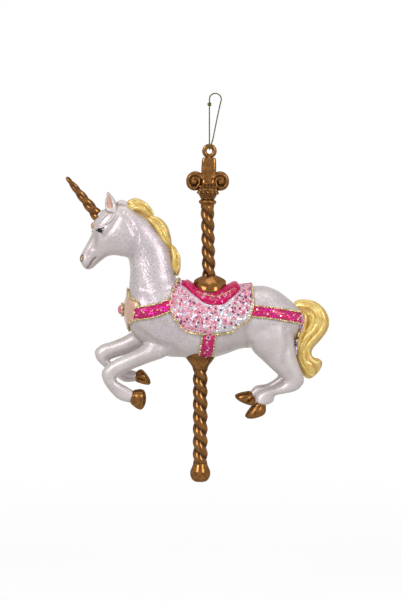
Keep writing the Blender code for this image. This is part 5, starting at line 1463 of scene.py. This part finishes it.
def build_finial():
    # The shaft is a rectangle with round corners
    turn = around(40)
    box_x, box_y = (np.sign(f) * np.abs(f) ** 0.55 for f in (np.cos(turn), np.sin(turn)))
    sections = smooth_table(FINIAL_SECTIONS, 6)
    shaft = [np.stack([hx * box_x, hy * box_y, np.full(len(turn), z)], axis=1) for z, hx, hy in sections]
    parts = [tube_mesh(shaft)]
    for scroll in SCROLLS:
        parts += scroll_parts(*scroll)
    beads = [*FINIAL_ROW, *((way * x, z, radius) for way in (-1, 1) for x, z, radius in FINIAL_SIDE_BEADS)]
    for x, z, radius in beads:
        depth = np.interp(z, *BEAD_DEPTHS) * math.sqrt(max(1 - (x / 5.4) ** 2, 0.2))
        parts += [ball((x, front * depth, z), radius, BEAD_ANGLES, 16) for front in (-1, 1)]
    points, faces, _ = remeshed("finial_skin", parts, voxel=0.17, rounds=2)
    x, y, z = points.T
    # Painted shade in the hollows of the scrolls and in a band through the beads
    from_scrolls = [np.hypot(x - mid_x, (z - mid_z) / SCROLL_STRETCH) for mid_x, mid_z, _ in SCROLLS]
    sunk = np.clip((1.9 - np.abs(y)) / 0.9, 0, 1) * (np.min(from_scrolls, axis=0) < 3.6)
    beading = np.clip(1 - np.abs(z + 17.6) / 1.8, 0, 1) * 0.4
    hollow = np.clip(np.maximum(sunk * 0.9, beading), 0, 1)
    copper_piece("finial_cast", "finial", lean(points, FINIAL_LEAN), faces, hollow)


def build_capital():
    profile = smooth_table(CAPITAL_PROFILE, 5)

    def bell_radius(z):
        return np.interp(z - CAPITAL_BASE, profile[:, 1], profile[:, 0])

    parts = [tube_mesh(turned_rings(profile, 64) + np.array((0, 0, CAPITAL_BASE)))]
    for row, (z, count, radius) in enumerate(CAPITAL_BEADS):
        reach = bell_radius(z)
        for swing in 2 * np.pi * (np.arange(count) + 0.5 * row) / count:
            place = (reach * math.cos(swing), reach * math.sin(swing), z)
            parts.append(ball(place, radius, BEAD_ANGLES, 16))
    points, faces, _ = remeshed("capital_skin", parts, voxel=0.2, rounds=2)
    z = points[:, 2]
    radius = np.hypot(points[:, 0], points[:, 1])
    # Painted shade in the neck above the ring and between the beads
    hollow = bell(z, -24.0, 0.5) * np.clip((4.1 - radius) / 0.8, 0, 1) * 0.7
    between_beads = np.clip(1 - (radius - bell_radius(z)) / 0.35, 0, 1) * 0.5
    hollow = np.maximum(hollow, np.where(z > -23.6, between_beads, 0))
    copper_piece("capital_cast", "capital", lean(points, FINIAL_LEAN), faces, hollow)


def build_eye():
    section = around(24)
    out = EYE_RING_RADIUS + EYE_WIRE_RADIUS * np.cos(section)
    y = EYE_WIRE_DEPTH * np.sin(section)
    rings = [np.stack([out * math.cos(a), y, out * math.sin(a)], axis=1) for a in around(72)]
    eye = Batch()
    for part in ([*rings, rings[0]], turned_rings(EYE_PEG_PROFILE, 24)):
        points, faces = tube_mesh(part)
        eye.add(lean(points, FINIAL_LEAN), faces)
    eye.put("hanging_eye_cast", COPPER, ["hanging_eye"], angle=70, attributes={"painted_shade": np.zeros(eye.count)})


def build_cord():
    run = resampled(smooth_table(CORD_ROUTE, 8), 0.16)
    length = np.linalg.norm(np.diff(run, axis=0), axis=1).sum()
    _, side, up = frames_along(run)
    along = np.linspace(0, length, len(run))
    plies, hollow = Batch(), []
    for start in (0, math.pi):
        swing = 2 * np.pi * along / PLY_PITCH + start
        path = run + PLY_OFFSET * (np.cos(swing)[:, None] * side + np.sin(swing)[:, None] * up)
        rings = tube_along(path, PLY_RADIUS)
        plies.add(*tube_mesh(rings))
        # Painted shade on the inner side of each ply, where the two press together
        out = np.linalg.norm(rings - run[:, None], axis=2)
        hollow.append(np.clip((0.2 - out) / 0.2, 0, 1).ravel())
    cord = plies.put("twisted_thread", THREAD, ["hanging_cord"], body="hanging_loop", angle=80,
                     attributes={"painted_shade": np.concatenate(hollow)})
    knot = Batch()
    share = np.linspace(0, 1, 90)
    for turns, first, reach, height, radius in KNOT_WINDINGS:
        swing = 2 * np.pi * turns * share + first
        line = np.stack([reach * np.cos(swing), reach * np.sin(swing), height * (share - 0.5)], axis=1)
        knot.add(*tube_mesh(tube_along(line + np.array(KNOT_PLACE), radius, 10)))
    tie = knot.put("thread_knot", THREAD, ["cord_knot"], body="hanging_loop", angle=80,
                   attributes={"painted_shade": np.zeros(knot.count)})


build_face()
for side, word in SIDES:
    build_ear(word, side)
build_hair()
build_horn()
build_hooves()
build_blanket()
seat_surface = build_seat()
build_straps()
build_plate()
build_gems()
build_upper_pole(seat_surface)
build_lower_pole()
build_finial()
build_capital()
build_eye()
build_cord()


# Floor, light and camera


def backdrop():
    """A pale floor that keeps the shadow and looks white to the camera and in reflections."""
    size, floor_z = 3.0, -0.262
    mesh = bpy.data.meshes.new("studio_floor")
    corners = [(-size, -size, floor_z), (size, -size, floor_z), (size, size, floor_z), (-size, size, floor_z)]
    mesh.from_pydata(corners, [], [(0, 1, 2, 3)])
    floor = bpy.data.objects.new("studio_floor", mesh)
    bpy.context.scene.collection.objects.link(floor)
    made = bpy.data.materials.new("studio_white")
    made.use_nodes = True
    tree = made.node_tree
    shader = tree.nodes["Principled BSDF"]
    shader.inputs["Base Color"].default_value = (0.9, 0.9, 0.9, 1.0)
    shader.inputs["Roughness"].default_value = 0.9
    seen = node(tree, "LightPath").outputs
    glow = node(tree, "Emission", {"Color": (1.0, 1.0, 1.0, 1.0), "Strength": 1.07})
    where = node(tree, "TexCoord").outputs["Object"]
    away = node(tree, "VectorMath", {0: where}, operation="LENGTH").outputs["Value"]
    white = maths(tree, "MAXIMUM", seen["Is Camera Ray"], seen["Is Glossy Ray"])
    # Whiter with distance, so that the floor shows no edge
    share = maths(tree, "MULTIPLY", white, ranged(tree, away, 0.35, 1.1, 0.85, 1.0))
    blend = node(tree, "MixShader")
    tree.links.new(share, blend.inputs[0])
    tree.links.new(shader.outputs[0], blend.inputs[1])
    tree.links.new(glow.outputs[0], blend.inputs[2])
    tree.links.new(blend.outputs[0], tree.nodes["Material Output"].inputs["Surface"])
    mesh.materials.append(made)


# Lamps: place, width and height in metres, then watts
LAMPS = {
    "left_box": ((-0.58, -0.70, 0.40), (0.36, 0.45), 4.5),
    "right_box": ((0.56, -0.72, 0.30), (0.26, 0.45), 3.4),
    "top_box": ((0.05, -0.1, 0.88), (0.6, 0.4), 1.6),
}
# Strength of the white surroundings as light; the camera and reflections see them at full white
SURROUNDINGS = 0.11
# What the lamps and the camera aim at, in metres, and the height of the view there
MIDDLE = Vector((-0.0074, 0.0, -0.1029))
CAMERA_DISTANCE = 1.0
CAMERA_RISE = math.radians(2.0)
VIEW_HEIGHT = 0.3005
SENSOR = 36.0


def aimed(name, data, place):
    """An object at a place, turned to the middle of the part."""
    made = bpy.data.objects.new(name, data)
    made.location = place
    made.rotation_euler = (MIDDLE - Vector(place)).to_track_quat("-Z", "Y").to_euler()
    bpy.context.scene.collection.objects.link(made)
    return made


def studio():
    scene = bpy.context.scene
    for name, (place, size, watts) in LAMPS.items():
        light = bpy.data.lights.new(name, "AREA")
        light.shape = "RECTANGLE"
        light.size, light.size_y = size
        light.energy = watts
        aimed(name, light, place)
    world = bpy.data.worlds.new("studio")
    scene.world = world
    world.use_nodes = True
    tree = world.node_tree
    back = tree.nodes["Background"]
    back.inputs["Color"].default_value = (1.0, 1.0, 1.0, 1.0)
    seen = node(tree, "LightPath").outputs
    shown = maths(tree, "MAXIMUM", seen["Is Camera Ray"], seen["Is Transmission Ray"])
    shown = maths(tree, "MAXIMUM", shown, seen["Is Glossy Ray"])
    tree.links.new(ranged(tree, shown, 0.0, 1.0, SURROUNDINGS, 1.0), back.inputs["Strength"])

    camera = bpy.data.cameras.new("camera")
    camera.sensor_width = SENSOR
    camera.lens = SENSOR * CAMERA_DISTANCE / VIEW_HEIGHT
    away = Vector((0.0, -math.cos(CAMERA_RISE), math.sin(CAMERA_RISE)))
    scene.camera = aimed("camera", camera, MIDDLE + away * CAMERA_DISTANCE)
    scene.view_settings.view_transform = "Standard"


backdrop()
studio()
